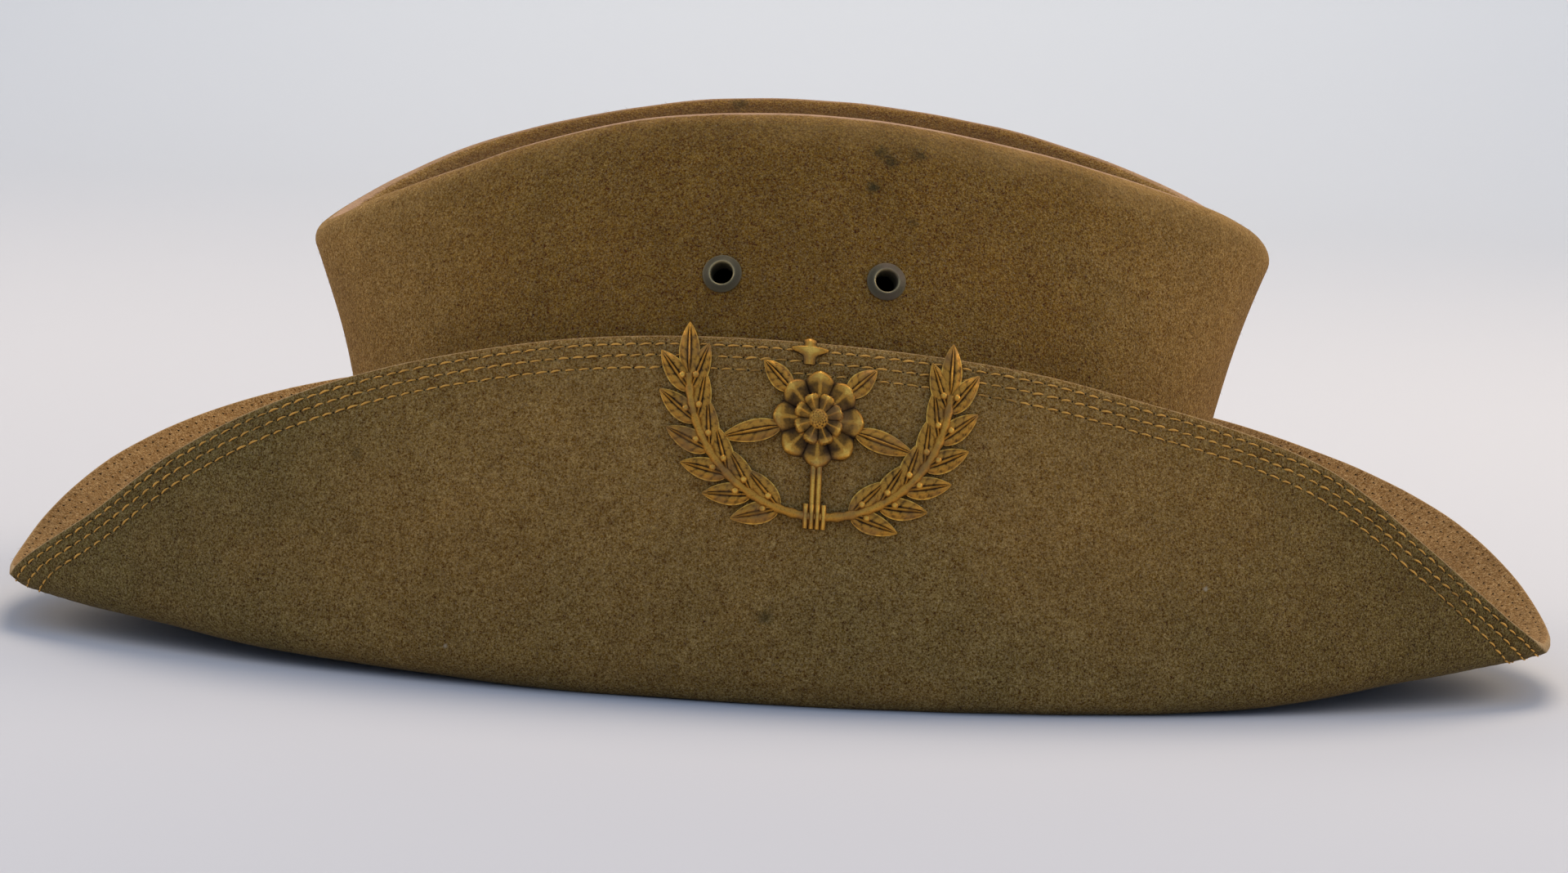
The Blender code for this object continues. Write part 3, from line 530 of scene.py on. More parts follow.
class Recipe(Tree):
    """A material and its nodes."""

    def __init__(self, name):
        self.material = bpy.data.materials.new(name)
        self.material.use_nodes = True
        super().__init__(self.material.node_tree)
        self.place = self.add("ShaderNodeTexCoord").outputs["Object"]

    def finish(self, colour, roughness, specular, normal=None, **constants):
        """Sets the surface, with the constants on the shader's own sockets, and hands the material over."""
        shader = self.tree.nodes["Principled BSDF"]
        for name, value in (("Base Color", colour), ("Roughness", roughness), ("Normal", normal)):
            if isinstance(value, bpy.types.NodeSocket):
                self.tree.links.new(value, shader.inputs[name])
            elif value is not None:
                shader.inputs[name].default_value = value
        for name, value in {"Specular_IOR_Level": specular, **constants}.items():
            if value is not None:
                shader.inputs[name.replace("_", " ")].default_value = value
        return self.material

    def blend(self, share, first, second, mode="MIX"):
        mixed = self.add(
            "ShaderNodeMix", ((7, second), (6, first), (0, share)), data_type="RGBA", blend_type=mode,
        )
        return mixed.outputs[2]

    def ramp(self, value, low, high, first=0.0, second=1.0):
        """A smooth step from first at low to second at high."""
        inputs = {0: value, 1: low, 2: high, 3: first, 4: second}
        return self.out("ShaderNodeMapRange", inputs, interpolation_type="SMOOTHSTEP")

    def noise(self, scale, detail=2.0, roughness=0.5, distortion=0.0):
        return self.out("ShaderNodeTexNoise", {
            "Vector": self.place, "Scale": scale, "Detail": detail, "Roughness": roughness,
            "Distortion": distortion,
        })

    def centred(self, noise, amount):
        """Noise as a value round 0."""
        return self.times(self.math("SUBTRACT", noise, 0.5), amount)

    def attribute(self, name):
        return self.add("ShaderNodeAttribute", attribute_name=name).outputs["Fac"]

    def spot(self, centre, radius, soft, warp):
        """1 inside a blot round a point, fading out over its soft edge, with its outline warped by noise."""
        gap = self.add("ShaderNodeVectorMath", {0: self.place, 1: centre}, operation="DISTANCE").outputs["Value"]
        ragged = self.math("ADD", gap, self.centred(warp, radius * BLOT_RAGGEDNESS))
        return self.ramp(ragged, radius - soft, radius + soft, 1.0, 0.0)

    def bump(self, height, distance, under=None):
        inputs = {"Height": height, "Distance": distance}
        if under is not None:
            inputs["Normal"] = under
        return self.out("ShaderNodeBump", inputs)


# Materials

Blot = namedtuple("Blot", "x y z radius strength")
STAIN_TINT = (0.040, 0.030, 0.010)
STAINS = (
    Blot(17.6, -81.4, 119.4, 1.5, 0.65),
    Blot(20.0, -82.4, 117.6, 1.5, 0.7),
    Blot(25.6, -80.4, 119.5, 1.6, 0.42),
    Blot(27.0, -80.6, 119.0, 0.9, 0.4),
    Blot(16.4, -85.9, 111.9, 1.2, 0.85),
    Blot(25.5, -88.0, 104.5, 1.1, 0.35),
    Blot(-16.3, 12.6, 124.7, 1.8, 0.6),
    Blot(-2.4, -119.2, 19.9, 1.5, 0.6),
    Blot(-150.0, 27.0, 30.0, 1.1, 0.6),
    Blot(-94.7, -99.0, 48.5, 1.2, 0.35),
    Blot(60.0, -96.0, 70.0, 1.0, 0.3),
)
FLECK_TINT = (0.42, 0.34, 0.22)
FLECKS = (
    Blot(93.7, -102.9, 28.6, 0.45, 0.7),
    Blot(-72.2, -111.2, 8.7, 0.4, 0.6),
    Blot(118.2, -93.0, 47.5, 0.3, 0.7),
    Blot(38.0, -86.0, 106.0, 0.25, 0.7),
)
BLOT_SOFTNESS = 0.7
BLOT_RAGGEDNESS = 1.6

PINK_BROWN = (0.318, 0.172, 0.060)
# Painted light: a paler brown for the crown's ends, where the side lamps fall.
PAINTED_CROWN_END_LIGHT = (0.325, 0.176, 0.048)
# Painted shade: a darker brown for the back of the underside, the flap's back end among it.
PAINTED_BACK_SHADE = (0.091, 0.058, 0.011)
# Painted shade in the crown's dent.
PAINTED_DENT_SHADE = (0.115, 0.052, 0.022)
# A paler band below the crest: wear, and painted light on the crest's rounded shoulder.
WORN_AND_LIT_BAND = (0.37, 0.205, 0.062)
# The crest's thin pale line: wear, and a painted highlight where light grazes it, stronger on the near side.
WORN_AND_LIT_LINE = (0.52, 0.31, 0.19)
PALE_HAIR = (0.36, 0.29, 0.175)
DARK_HAIR = (0.030, 0.024, 0.014)
LOOSE_HAIR = (0.26, 0.165, 0.07)

# The wool's grain: its noise's scale, how far all colours stray together, and how far each strays more.
GRAINS = ((560, 0.55, 0.5), (1500, 1.5, 1.0), (3300, 1.7, 1.0))
FIBRE_GRAIN = 1500
GRAIN_TINT = (0.35, 0.75, 1.5)
SPECK_TINT = (0.46, 0.355, 0.19)
DARKEST = (0.004,) * 3


def felt_grain(r, colour):
    """Matted wool of several browns, in tufts and in single fibres, and the noise that the fibres follow."""
    for scale, tone, tint in GRAINS:
        grain = r.noise(scale, 2, 0.7)
        spread = [tone + tint * share for share in GRAIN_TINT]
        stray = r.vector_math("MULTIPLY_ADD", grain, spread, [1 - share / 2 for share in spread])
        colour = r.blend(1.0, colour, stray, "MULTIPLY")
        if scale == FIBRE_GRAIN:
            fibres = grain
    specks = r.vector_math("MULTIPLY_ADD", r.noise(2400, 2, 0.8), SPECK_TINT, [-share / 2 for share in SPECK_TINT])
    colour = r.vector_math("MAXIMUM", r.vector_math("ADD", colour, specks), DARKEST)
    hairs = r.noise(2300, 3, 0.75, 0.4)
    colour = r.blend(r.ramp(hairs, 0.55, 0.74, 0.0, 0.42), colour, PALE_HAIR)
    return r.blend(r.ramp(hairs, 0.46, 0.30, 0.0, 0.5), colour, DARK_HAIR), fibres


def felt_material(settings):
    """Matt wool felt: cloudy brown, fine light and dark grains, pale where worn, stained in places, with light and
    shade painted in.
    """
    r = Recipe("felt")
    cloud, patch = r.noise(24, 3, 0.55), r.noise(110, 3, 0.6)
    x, y, z = r.add("ShaderNodeSeparateXYZ", {0: r.place}).outputs
    far_x = r.size(x)
    under, edge, crest, cut = (r.attribute(name) for name in ("under", "from_edge", "crest", "cut"))
    top = r.math("SUBTRACT", 1.0, under)
    # Regions: greener and darker low on the flap and towards its ends, painted shade where less light falls; pinkish
    # on the brim's upper side; paler at the crown's ends, painted light where the side lamps fall; and darker at the
    # back of the underside, painted shade.
    ends = r.ramp(r.size(r.math("ADD", x, -15 * MM)), 60 * MM, 165 * MM)
    green = r.times(r.math("MAXIMUM", r.times(r.ramp(z, 58 * MM, 6 * MM), 0.55), ends), under)
    colour = r.blend(under, settings.brown, settings.dusty)
    colour = r.blend(r.math("ADD", green, r.centred(cloud, 1.3), clamp=True), colour, settings.olive)
    for tint, shares in (
        (PINK_BROWN, (r.ramp(edge, 62 * MM, 30 * MM), top, 0.75)),
        (PAINTED_CROWN_END_LIGHT, (r.ramp(far_x, 50 * MM, 112 * MM), r.ramp(edge, 60 * MM, 90 * MM), 0.75)),
        (PAINTED_BACK_SHADE, (r.ramp(x, 60 * MM, 165 * MM, 0.0, 0.55), under)),
    ):
        colour = r.blend(r.times(*shares), colour, tint)
    colour, fibres = felt_grain(r, colour)
    shade = r.times(r.math("MULTIPLY_ADD", cloud, 0.5, 0.75), r.math("MULTIPLY_ADD", patch, 0.44, 0.78))
    colour = r.blend(1.0, colour, r.vector(shade, shade, shade), "MULTIPLY")
    # Worn places and painted light: a paler band below the crest, worn and with painted light on its rounded
    # shoulder;
    # the dent in painted shade; the crest's thin line, worn and with a painted highlight; and the cut edge.
    from_crest = r.math("ADD", crest, r.centred(r.noise(700, 3, 0.7), 1.1 * MM))
    for tint, shares in (
        (WORN_AND_LIT_BAND, (
            r.ramp(from_crest, 11 * MM, 1.5 * MM), r.ramp(from_crest, -1.0 * MM, 0.5 * MM),
            r.math("MULTIPLY_ADD", patch, 1.2, -0.1), r.ramp(x, -50 * MM, 70 * MM, 0.35, 0.85), top,
        )),
        (PAINTED_DENT_SHADE, (r.ramp(crest, -0.8 * MM, -4.0 * MM), top, 0.45)),
        (WORN_AND_LIT_LINE, (
            r.ramp(r.size(from_crest), 1.45 * MM, 0.75 * MM), r.ramp(y, 10 * MM, -30 * MM, 0.3, 0.68), top,
        )),
        (settings.worn, (
            cut, r.ramp(r.noise(900, 3, 0.6), 0.3, 0.65, 0.3, 0.8), r.ramp(far_x, 50 * MM, 110 * MM, 0.5, 1.0),
        )),
    ):
        colour = r.blend(r.times(*shares), colour, tint)
    clump = r.noise(750, 3, 0.75)
    for blots, tint in ((STAINS, STAIN_TINT), (FLECKS, FLECK_TINT)):
        for x_mm, y_mm, z_mm, radius, strength in blots:
            centre = Vector((x_mm, y_mm, z_mm)) * MM
            blot = r.spot(centre, radius * MM, radius * BLOT_SOFTNESS * MM, clump)
            colour = r.blend(r.times(blot, strength), colour, tint)
    grooves = [r.ramp(r.size(r.math("SUBTRACT", edge, row.inset)), 0.7 * MM, 0.0) for row in STITCH_ROWS]
    rows = r.math("MAXIMUM", r.math("MAXIMUM", *grooves[:2]), grooves[2])
    sunk = r.times(rows, r.math("MULTIPLY_ADD", under, -0.8, -0.2))
    lumps = r.bump(r.noise(300, 3, 0.6), 0.4 * MM)
    normal = r.bump(fibres, 0.30 * MM, under=r.bump(sunk, 0.25 * MM, under=lumps))
    return r.finish(
        colour, 0.95, 0.12, normal, Sheen_Weight=0.07, Sheen_Roughness=0.35, Sheen_Tint=(1.0, 0.80, 0.52, 1),
    )


def scaled(colour, factor):
    return tuple(min(1, channel * factor) for channel in colour)


def thread_material(name, colour):
    """Matt cotton thread with its twist, soiled in stretches."""
    r = Recipe(name)
    soiled = r.ramp(r.noise(42), 0.40, 0.32, 0.0, 0.75)
    tone = r.blend(r.noise(330), scaled(colour, 0.7), scaled(colour, 1.3))
    tone = r.blend(soiled, tone, scaled(colour, 0.32))
    return r.finish(tone, 0.75, 0.25, r.bump(r.noise(4200), 0.08 * MM))


def plain_material(name, scale, first, second, roughness, specular, low=None, high=None):
    """An even matt surface between two colours."""
    r = Recipe(name)
    share = r.noise(scale)
    return r.finish(r.blend(share if low is None else r.ramp(share, low, high), first, second), roughness, specular)


TARNISH = (0.10, 0.060, 0.045)


def metal_material(name, bright, middle, dark, roughness, high, metallic=0.85):
    """Aged metal, dark in its recesses from tarnish and painted shade: high is the attribute value at which it is
    rubbed bright, with a painted highlight.
    """
    r = Recipe(name)
    cloud, grain = r.noise(260, 4, 0.65), r.noise(2600, 3, 0.6)
    # Bright where raised, for rubbed metal and painted highlights; dark where low, for tarnish and painted shade.
    share = r.ramp(r.math("ADD", r.attribute("raised"), r.centred(cloud, 0.55)), 0.05, high)
    tone = r.blend(r.ramp(share, 0.0, 0.4), dark, middle)
    tone = r.blend(r.ramp(share, 0.5, 1.0), tone, bright)
    tone = r.blend(r.ramp(grain, 0.5, 0.75, 0.0, 0.4), tone, dark)
    smoky = r.ramp(r.noise(150, 3, 0.6), 0.46, 0.70, 0.0, 0.7)
    tone = r.blend(smoky, tone, tuple(mix(a, b, 0.3) for a, b in zip(TARNISH, middle)))
    rough = r.math("ADD", r.ramp(share, 0.0, 1.0, min(1, roughness + 0.25), roughness), r.centred(grain, 0.3))
    pitted = r.bump(r.math("ADD", cloud, r.times(grain, 0.3)), 0.12 * MM)
    return r.finish(tone, rough, None, pitted, Metallic=metallic)


# Making objects


def show(shape, name, look, sharp=40):
    """Turns a bmesh into a smooth-shaded object with its material."""
    mesh = bpy.data.meshes.new(name)
    shape.to_mesh(mesh)
    shape.free()
    mesh.shade_smooth()
    mesh.set_sharp_from_angle(angle=radians(sharp))
    mesh.materials.append(look)
    obj = bpy.data.objects.new(name, mesh)
    bpy.context.scene.collection.objects.link(obj)
    return obj


def on_hat(obj, slot, *nodes):
    """Fixes a finished piece to the hat and hides the parts it stands for. The slot argument is not used."""
    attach(obj, "root")
    if nodes:
        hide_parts(*nodes)


def join_rings(shape, rings, closed=True):
    """Faces between each ring of vertices and the next."""
    for ring, beside in zip(rings, rings[1:]):
        count = len(ring)
        for i in range(count if closed else count - 1):
            j = (i + 1) % count
            shape.faces.new((ring[i], ring[j], beside[j], beside[i]))


def made_plain(obj, name, look):
    """The evaluated object as a plain mesh, with its modifiers gone."""
    graph = bpy.context.evaluated_depsgraph_get()
    mesh = bpy.data.meshes.new_from_object(obj.evaluated_get(graph))
    bpy.data.objects.remove(obj)
    mesh.name = name
    plain = bpy.data.objects.new(name, mesh)
    mesh.materials.clear()
    mesh.materials.append(look)
    bpy.context.scene.collection.objects.link(plain)
    return plain


# The felt


def seated_share(point):
    """1 where the felt may be uneven, 0 where metal sits on it."""
    near = min((point - place).length for place in SEATS)
    free = min(1, max(0, (near - 9 * MM) / (12 * MM)))
    badge = Vector((BADGE_X, -118 * MM, BADGE_HEIGHT))
    gap = point - badge
    reach = sqrt((gap.x / (44 * MM)) ** 2 + (gap.z / (34 * MM)) ** 2)
    if abs(gap.y) < 30 * MM:
        free *= min(1, max(0, (reach - 0.95) / 0.4))
    return free


def unevenness(point, amount):
    """How far the felt stands out or in at a point: hand-shaped, not machined."""
    broad = noise.noise(point * 22)
    small = noise.noise(point * 70 + Vector((3.1, 1.7, 5.3)))
    return amount * (1.6 * broad + 0.5 * small) * seated_share(point)


SEATS = []
for side in (-1, 1):
    for spot_x in EYELET_PLACES.values():
        SEATS.append(wall_frame(spot_x, EYELET_HEIGHT, side).translation)
SEATS.append(flap_frame(CLIP_X, 78 * MM).translation)


def felt_columns(angles, ribs):
    """For each row of a rib, how far it lies from the crest and from the brim's edge, both along the felt."""
    crests, edges = [], []
    for angle, rib in zip(angles, ribs):
        along = [0.0]
        for a, b in zip(rib, rib[1:]):
            along.append(along[-1] + (b - a).length)
        dent_turn = ridge_arc(angle)[2]
        crest = along[DENT_ROWS] + RIDGE_ROLL * (dent_turn - pi / 2)
        crests.append([value - crest for value in along])
        edges.append([along[-1] - value for value in along])
    return crests, edges


def felt_shell(settings):
    """The felt's two faces and its rounded cut edge, with the values that its material reads."""
    angles = rib_angles()
    ribs = [felt_rib(angle) for angle in angles]
    crests, edges = felt_columns(angles, ribs)
    sheet = bmesh.new()
    grid = [[sheet.verts.new(point) for point in rib] for rib in ribs]
    join_rings(sheet, [list(row) for row in zip(*grid)])
    bmesh.ops.recalc_face_normals(sheet, faces=sheet.faces)
    sheet.normal_update()
    up = sum(1 if vert.normal.z > 0 else -1 for vert in grid[0][:DENT_ROWS])
    flip = 1 if up > 0 else -1
    half = settings.thickness / 2
    felt = bmesh.new()
    layers = {name: felt.verts.layers.float.new(name) for name in ("crest", "from_edge", "under", "cut")}

    def put(point, rib, row, under, cut):
        point.z = max(point.z, 0)
        vert = felt.verts.new(point)
        for name, value in (
            ("crest", crests[rib][row]), ("from_edge", edges[rib][row]), ("under", under), ("cut", cut),
        ):
            vert[layers[name]] = value
        return vert

    columns = []
    for i, verts in enumerate(grid):
        over, beneath = [], []
        for row, vert in enumerate(verts):
            normal = vert.normal * flip
            middle = vert.co + normal * unevenness(vert.co, settings.unevenness)
            over.append(put(middle + normal * half, i, row, 0.0, 0.0))
            beneath.append(put(middle - normal * half, i, row, 1.0, 0.0))
        normal = verts[-1].normal * flip
        outward = (verts[-1].co - verts[-2].co).normalized()
        middle = verts[-1].co + normal * unevenness(verts[-1].co, settings.unevenness)
        rim = []
        for step in range(1, RIM_STEPS):
            turn = pi * step / RIM_STEPS
            bulge = outward * (0.45 * half * sin(turn)) + normal * (half * cos(turn))
            rim.append(put(middle + bulge, i, len(verts) - 1, step / RIM_STEPS, 1.0))
        columns.append(over + rim + beneath[::-1])
    join_rings(felt, [list(row) for row in zip(*columns)])
    bmesh.ops.remove_doubles(felt, verts=felt.verts, dist=0.02 * MM)
    bmesh.ops.recalc_face_normals(felt, faces=felt.faces)
    sheet.free()
    return felt


def hole_cutter(radius, sides, place):
    """A cylinder along place's Z that cuts a hole through the felt."""
    shape = bmesh.new()
    bmesh.ops.create_cone(
        shape, cap_ends=True, segments=sides, radius1=radius, radius2=radius, depth=2 * HOLE_REACH, matrix=place,
    )
    mesh = bpy.data.meshes.new("cutter")
    shape.to_mesh(mesh)
    shape.free()
    cutter = bpy.data.objects.new("cutter", mesh)
    bpy.context.scene.collection.objects.link(cutter)
    return cutter


def hole_places():
    """Where the felt is pierced: four eyelets and the badge's two posts."""
    places = []
    for side in (-1, 1):
        for x in EYELET_PLACES.values():
            places.append((EYELET_HOLE, 32, wall_frame(x, EYELET_HEIGHT, side)))
    for v in (ROSETTE_V, KNOT_V):
        places.append((POST_HOLE, 16, flap_frame(BADGE_X, BADGE_HEIGHT + v)))
    return places


class HAT_OT_felt(bpy.types.Operator):
    """Builds the crown and brim in one piece of felt"""

    bl_idname = "hat.felt"
    bl_label = "Felt Body"

    def execute(self, context):
        settings = context.scene.slouch_hat.felt
        felt = show(felt_shell(settings), "felt_shell", felt_material(settings), sharp=80)
        cutters = []
        for radius, sides, place in hole_places():
            cut = felt.modifiers.new("hole", "BOOLEAN")
            cut.operation = "DIFFERENCE"
            cut.solver = "EXACT"
            cut.object = hole_cutter(radius, sides, place)
            cutters.append(cut.object)
        felt = made_plain(felt, "felt_shell", felt.data.materials[0])
        for cutter in cutters:
            bpy.data.objects.remove(cutter)
        if len(felt.data.polygons) < 1000:
            raise RuntimeError("the felt came out empty")
        on_hat(felt, "felt", "felt_body")
        return {"FINISHED"}


# The stitching

# Painted shade of the needle holes.
PIT_SHADE_TONES = ((0.012, 0.008, 0.004), (0.035, 0.021, 0.009))


THREAD_ARCH = 0.42 * MM
UPPER_THREAD = (0.20, 0.105, 0.038)
UPPER_LENGTH = 0.8 * MM


def edge_path(inset, under, felt_tree):
    """A closed line round the brim, this far from its edge, on its underside or its upper side."""
    points = []
    for i in range(720):
        rib = brim_rib(i / 2)
        points.append(brim_point(rib, rib.width - inset) + STAND_SHIFT)
    path = bmesh.new()
    layer = path.verts.layers.float_vector.new("felt_normal")
    verts = []
    for i, point in enumerate(points):
        rib = brim_rib(i / 2)
        ahead = (points[(i + 1) % 720] - points[i - 1]).normalized()
        inner = brim_point(rib, rib.width - inset - 2 * MM) + STAND_SHIFT
        outward = (point - inner).normalized()
        normal = outward.cross(ahead).normalized() * (-1 if under else 1)
        hit = felt_tree.ray_cast(point + normal * 4 * MM, -normal, 8 * MM)
        spot = hit[0] if hit[0] is not None else point + normal * FELT_THICKNESS / 2
        vert = path.verts.new(spot)
        vert[layer] = normal
        verts.append(vert)
    for i in range(720):
        path.edges.new((verts[i], verts[(i + 1) % 720]))
    return path


def socket(group, name, kind, default=None):
    """One named input of a node group."""
    made = group.interface.new_socket(name=name, in_out="INPUT", socket_type=kind)
    if default is not None:
        made.default_value = default
    return made


def add_node(group, kind, inputs=(), **settings):
    node = group.nodes.new(kind)
    for key, value in settings.items():
        setattr(node, key, value)
    for key, value in dict(inputs).items():
        if isinstance(value, bpy.types.NodeSocket):
            group.links.new(value, node.inputs[key])
        else:
            node.inputs[key].default_value = value
    return node


def row_tree(name, output):
    """The start of a node group that sets pieces along a line: its sockets, its points and how each is turned."""
    g = bpy.data.node_groups.new(name, "GeometryNodeTree")
    socket(g, "Line", "NodeSocketGeometry")
    g.interface.new_socket(name=output, in_out="OUTPUT", socket_type="NodeSocketGeometry")
    socket(g, "Count", "NodeSocketInt", 306)
    socket(g, "Length", "NodeSocketFloat", 2.2 * MM)
    socket(g, "Slant", "NodeSocketFloat", 0.05)
    socket(g, "Seed", "NodeSocketInt", 1)
    socket(g, "Look", "NodeSocketMaterial")
    source = add_node(g, "NodeGroupInput").outputs
    line = add_node(g, "GeometryNodeMeshToCurve", {0: source["Line"]})
    row = add_node(g, "GeometryNodeResampleCurve", {"Curve": line.outputs[0], "Count": source["Count"]})
    row.mode = "COUNT"
    normal = add_node(g, "GeometryNodeInputNamedAttribute", {"Name": "felt_normal"}, data_type="FLOAT_VECTOR")
    tangent = add_node(g, "GeometryNodeInputTangent")
    turn = add_node(
        g, "FunctionNodeAxesToRotation", {0: normal.outputs[0], 1: tangent.outputs[0]},
        primary_axis="Z", secondary_axis="X",
    )
    return g, row.outputs[0], turn.outputs[0]


def sew_along(g, source, points, turn, piece, size_range):
    """Sets a piece at every point, each a little larger, smaller or askew, and ends the group."""
    low, high = size_range
    size = add_node(
        g, "FunctionNodeRandomValue", {"Min": low, "Max": high, "Seed": source["Seed"]}, data_type="FLOAT_VECTOR",
    )
    placed = add_node(g, "GeometryNodeInstanceOnPoints", {
        "Points": points, "Instance": piece, "Rotation": turn, "Scale": size.outputs[0],
    })
    lean = add_node(g, "FunctionNodeRandomValue", {
        "Min": (-0.05, -0.05, -0.09), "Max": (0.05, 0.05, 0.09), "Seed": source["Seed"],
    }, data_type="FLOAT_VECTOR")
    slant = add_node(g, "ShaderNodeCombineXYZ", {2: source["Slant"]})
    angle = add_node(g, "ShaderNodeVectorMath", {0: lean.outputs[0], 1: slant.outputs[0]}, operation="ADD")
    rotation = add_node(g, "FunctionNodeEulerToRotation", {0: angle.outputs[0]})
    turned = add_node(g, "GeometryNodeRotateInstances", {
        "Instances": placed.outputs[0], "Rotation": rotation.outputs[0],
    })
    real = add_node(g, "GeometryNodeRealizeInstances", {0: turned.outputs[0]})
    dyed = add_node(g, "GeometryNodeSetMaterial", {"Geometry": real.outputs[0], "Material": source["Look"]})
    add_node(g, "NodeGroupOutput", {0: dyed.outputs[0]})
    return g


def thread_tree():
    """Nodes that lay a row of threads along a line, each an arch that sinks into the felt at both ends."""
    g, points, turn = row_tree("Brim threads", "Threads")
    socket(g, "Radius", "NodeSocketFloat", 0.20 * MM)
    socket(g, "Arch", "NodeSocketFloat", 0.4 * MM)
    source = {item.name: item for item in g.nodes["Group Input"].outputs}
    half = add_node(g, "ShaderNodeMath", {0: source["Length"], 1: 0.5}, operation="MULTIPLY")
    back = add_node(g, "ShaderNodeMath", {0: source["Length"], 1: -0.5}, operation="MULTIPLY")
    bow = add_node(g, "ShaderNodeMath", {0: source["Length"], 1: 0.10}, operation="MULTIPLY")
    sink = add_node(g, "ShaderNodeMath", {0: source["Radius"], 1: -0.6}, operation="MULTIPLY")
    start = add_node(g, "ShaderNodeCombineXYZ", {0: back.outputs[0], 2: sink.outputs[0]})
    middle = add_node(g, "ShaderNodeCombineXYZ", {1: bow.outputs[0], 2: source["Arch"]})
    end = add_node(g, "ShaderNodeCombineXYZ", {0: half.outputs[0], 2: sink.outputs[0]})
    arch = add_node(g, "GeometryNodeCurveQuadraticBezier", {
        "Resolution": 6, "Start": start.outputs[0], "Middle": middle.outputs[0], "End": end.outputs[0],
    })
    share = add_node(g, "GeometryNodeSplineParameter")
    early = add_node(g, "ShaderNodeMath", {0: share.outputs["Factor"], 1: 0.75}, operation="POWER")
    wave = add_node(g, "ShaderNodeMath", {0: early.outputs[0], 1: pi}, operation="MULTIPLY")
    swell = add_node(g, "ShaderNodeMath", {0: wave.outputs[0]}, operation="SINE")
    fat = add_node(g, "ShaderNodeMath", {0: swell.outputs[0], 1: 0.65, 2: 0.4}, operation="MULTIPLY_ADD")
    ring = add_node(g, "GeometryNodeCurvePrimitiveCircle", {"Resolution": 6, "Radius": source["Radius"]})
    thread = add_node(g, "GeometryNodeCurveToMesh", {
        "Curve": arch.outputs[0], "Profile Curve": ring.outputs[0], "Scale": fat.outputs[0], "Fill Caps": True,
    })
    return sew_along(g, source, points, turn, thread.outputs[0], ((0.88, 0.8, 0.8), (1.1, 1.2, 1.15)))


def pit_tree():
    """Nodes that mark a row of needle holes along a line: small dark discs, painted shade of the holes, just past
    the threads' ends.
    """
    g, points, turn = row_tree("Needle pits", "Pits")
    socket(g, "Pit", "NodeSocketFloat", 0.2 * MM)
    source = {item.name: item for item in g.nodes["Group Input"].outputs}
    disc = add_node(g, "GeometryNodeMeshCircle", {"Vertices": 8, "Radius": source["Pit"]}, fill_type="NGON")
    past = add_node(g, "ShaderNodeMath", {0: source["Length"], 1: 0.62}, operation="MULTIPLY")
    spot = add_node(g, "ShaderNodeCombineXYZ", {0: past.outputs[0], 2: 0.04 * MM})
    moved = add_node(g, "GeometryNodeTransform", {"Geometry": disc.outputs[0], "Translation": spot.outputs[0]})
    return sew_along(g, source, points, turn, moved.outputs[0], ((0.84, 0.8, 0.8), (1.1, 1.2, 1.15)))


def set_input(modifier, name, value):
    """Sets one input of a node modifier by its socket's identifier."""
    for item in modifier.node_group.interface.items_tree:
        if item.item_type == "SOCKET" and item.in_out == "INPUT" and item.name == name:
            modifier[item.identifier] = value
            return
    raise RuntimeError(f"the nodes have no input named {name}")


def sewn_rows(name, under, felt_tree, group, inputs, look):
    """One piece of mesh with what a node group sets along all the rows on one face of the brim."""
    joined = bmesh.new()
    for row in STITCH_ROWS:
        mesh = bpy.data.meshes.new("line")
        edge_path(row.inset, under, felt_tree).to_mesh(mesh)
        line = bpy.data.objects.new("line", mesh)
        bpy.context.scene.collection.objects.link(line)
        sew = line.modifiers.new("stitches", "NODES")
        sew.node_group = group
        for key, value in (*inputs.items(), ("Slant", row.slant), ("Seed", row.seed), ("Look", look)):
            set_input(sew, key, value)
        sewn = made_plain(line, "row", look)
        joined.from_mesh(sewn.data)
        bpy.data.objects.remove(sewn)
    if not joined.faces:
        raise RuntimeError(f"no {name} were made")
    return show(joined, name, look, sharp=180)


class HAT_OT_stitches(bpy.types.Operator):
    """Sews three rows of stitches round the brim, threads below and needle pits above"""

    bl_idname = "hat.stitches"
    bl_label = "Brim Stitching"

    def execute(self, context):
        settings = context.scene.slouch_hat.stitches
        felt = bpy.data.objects["felt_shell"]
        tree = BVHTree.FromPolygons(
            [vert.co for vert in felt.data.vertices], [tuple(face.vertices) for face in felt.data.polygons],
        )
        threads, pits = thread_tree(), pit_tree()
        gold = thread_material("underside_thread", settings.colour)
        dull = thread_material("upper_thread", UPPER_THREAD)
        hollow = plain_material("needle_pit_shade", 2500, *PIT_SHADE_TONES, roughness=1.0, specular=0.0)
        spacing = {"Count": settings.stitches}
        below = {**spacing, "Length": settings.length}
        above = {**spacing, "Length": UPPER_LENGTH}
        for name, under, group, inputs, look in (
            ("threads_underside", True, threads, {**below, "Radius": settings.radius, "Arch": THREAD_ARCH}, gold),
            ("pits_underside", True, pits, {**below, "Pit": 0.20 * MM}, hollow),
            ("threads_upper", False, threads, {**above, "Radius": 0.12 * MM, "Arch": 0.08 * MM}, dull),
            ("pits_upper", False, pits, {**above, "Pit": 0.28 * MM}, hollow),
        ):
            on_hat(sewn_rows(name, under, tree, group, inputs, look), "felt")
        return {"FINISHED"}


# The nap

# Pieces of nap: its name, on the upper face (0) or the lower one (1), and how far from the brim's edge it lies.
NAP_PIECES = (
    ("nap_crown", 0.0, 84 * MM, 1.0),
    ("nap_brim", 0.0, -1 * MM, 84 * MM),
    ("nap_inside", 1.0, 84 * MM, 1.0),
    ("nap_underside", 1.0, -1 * MM, 84 * MM),
)


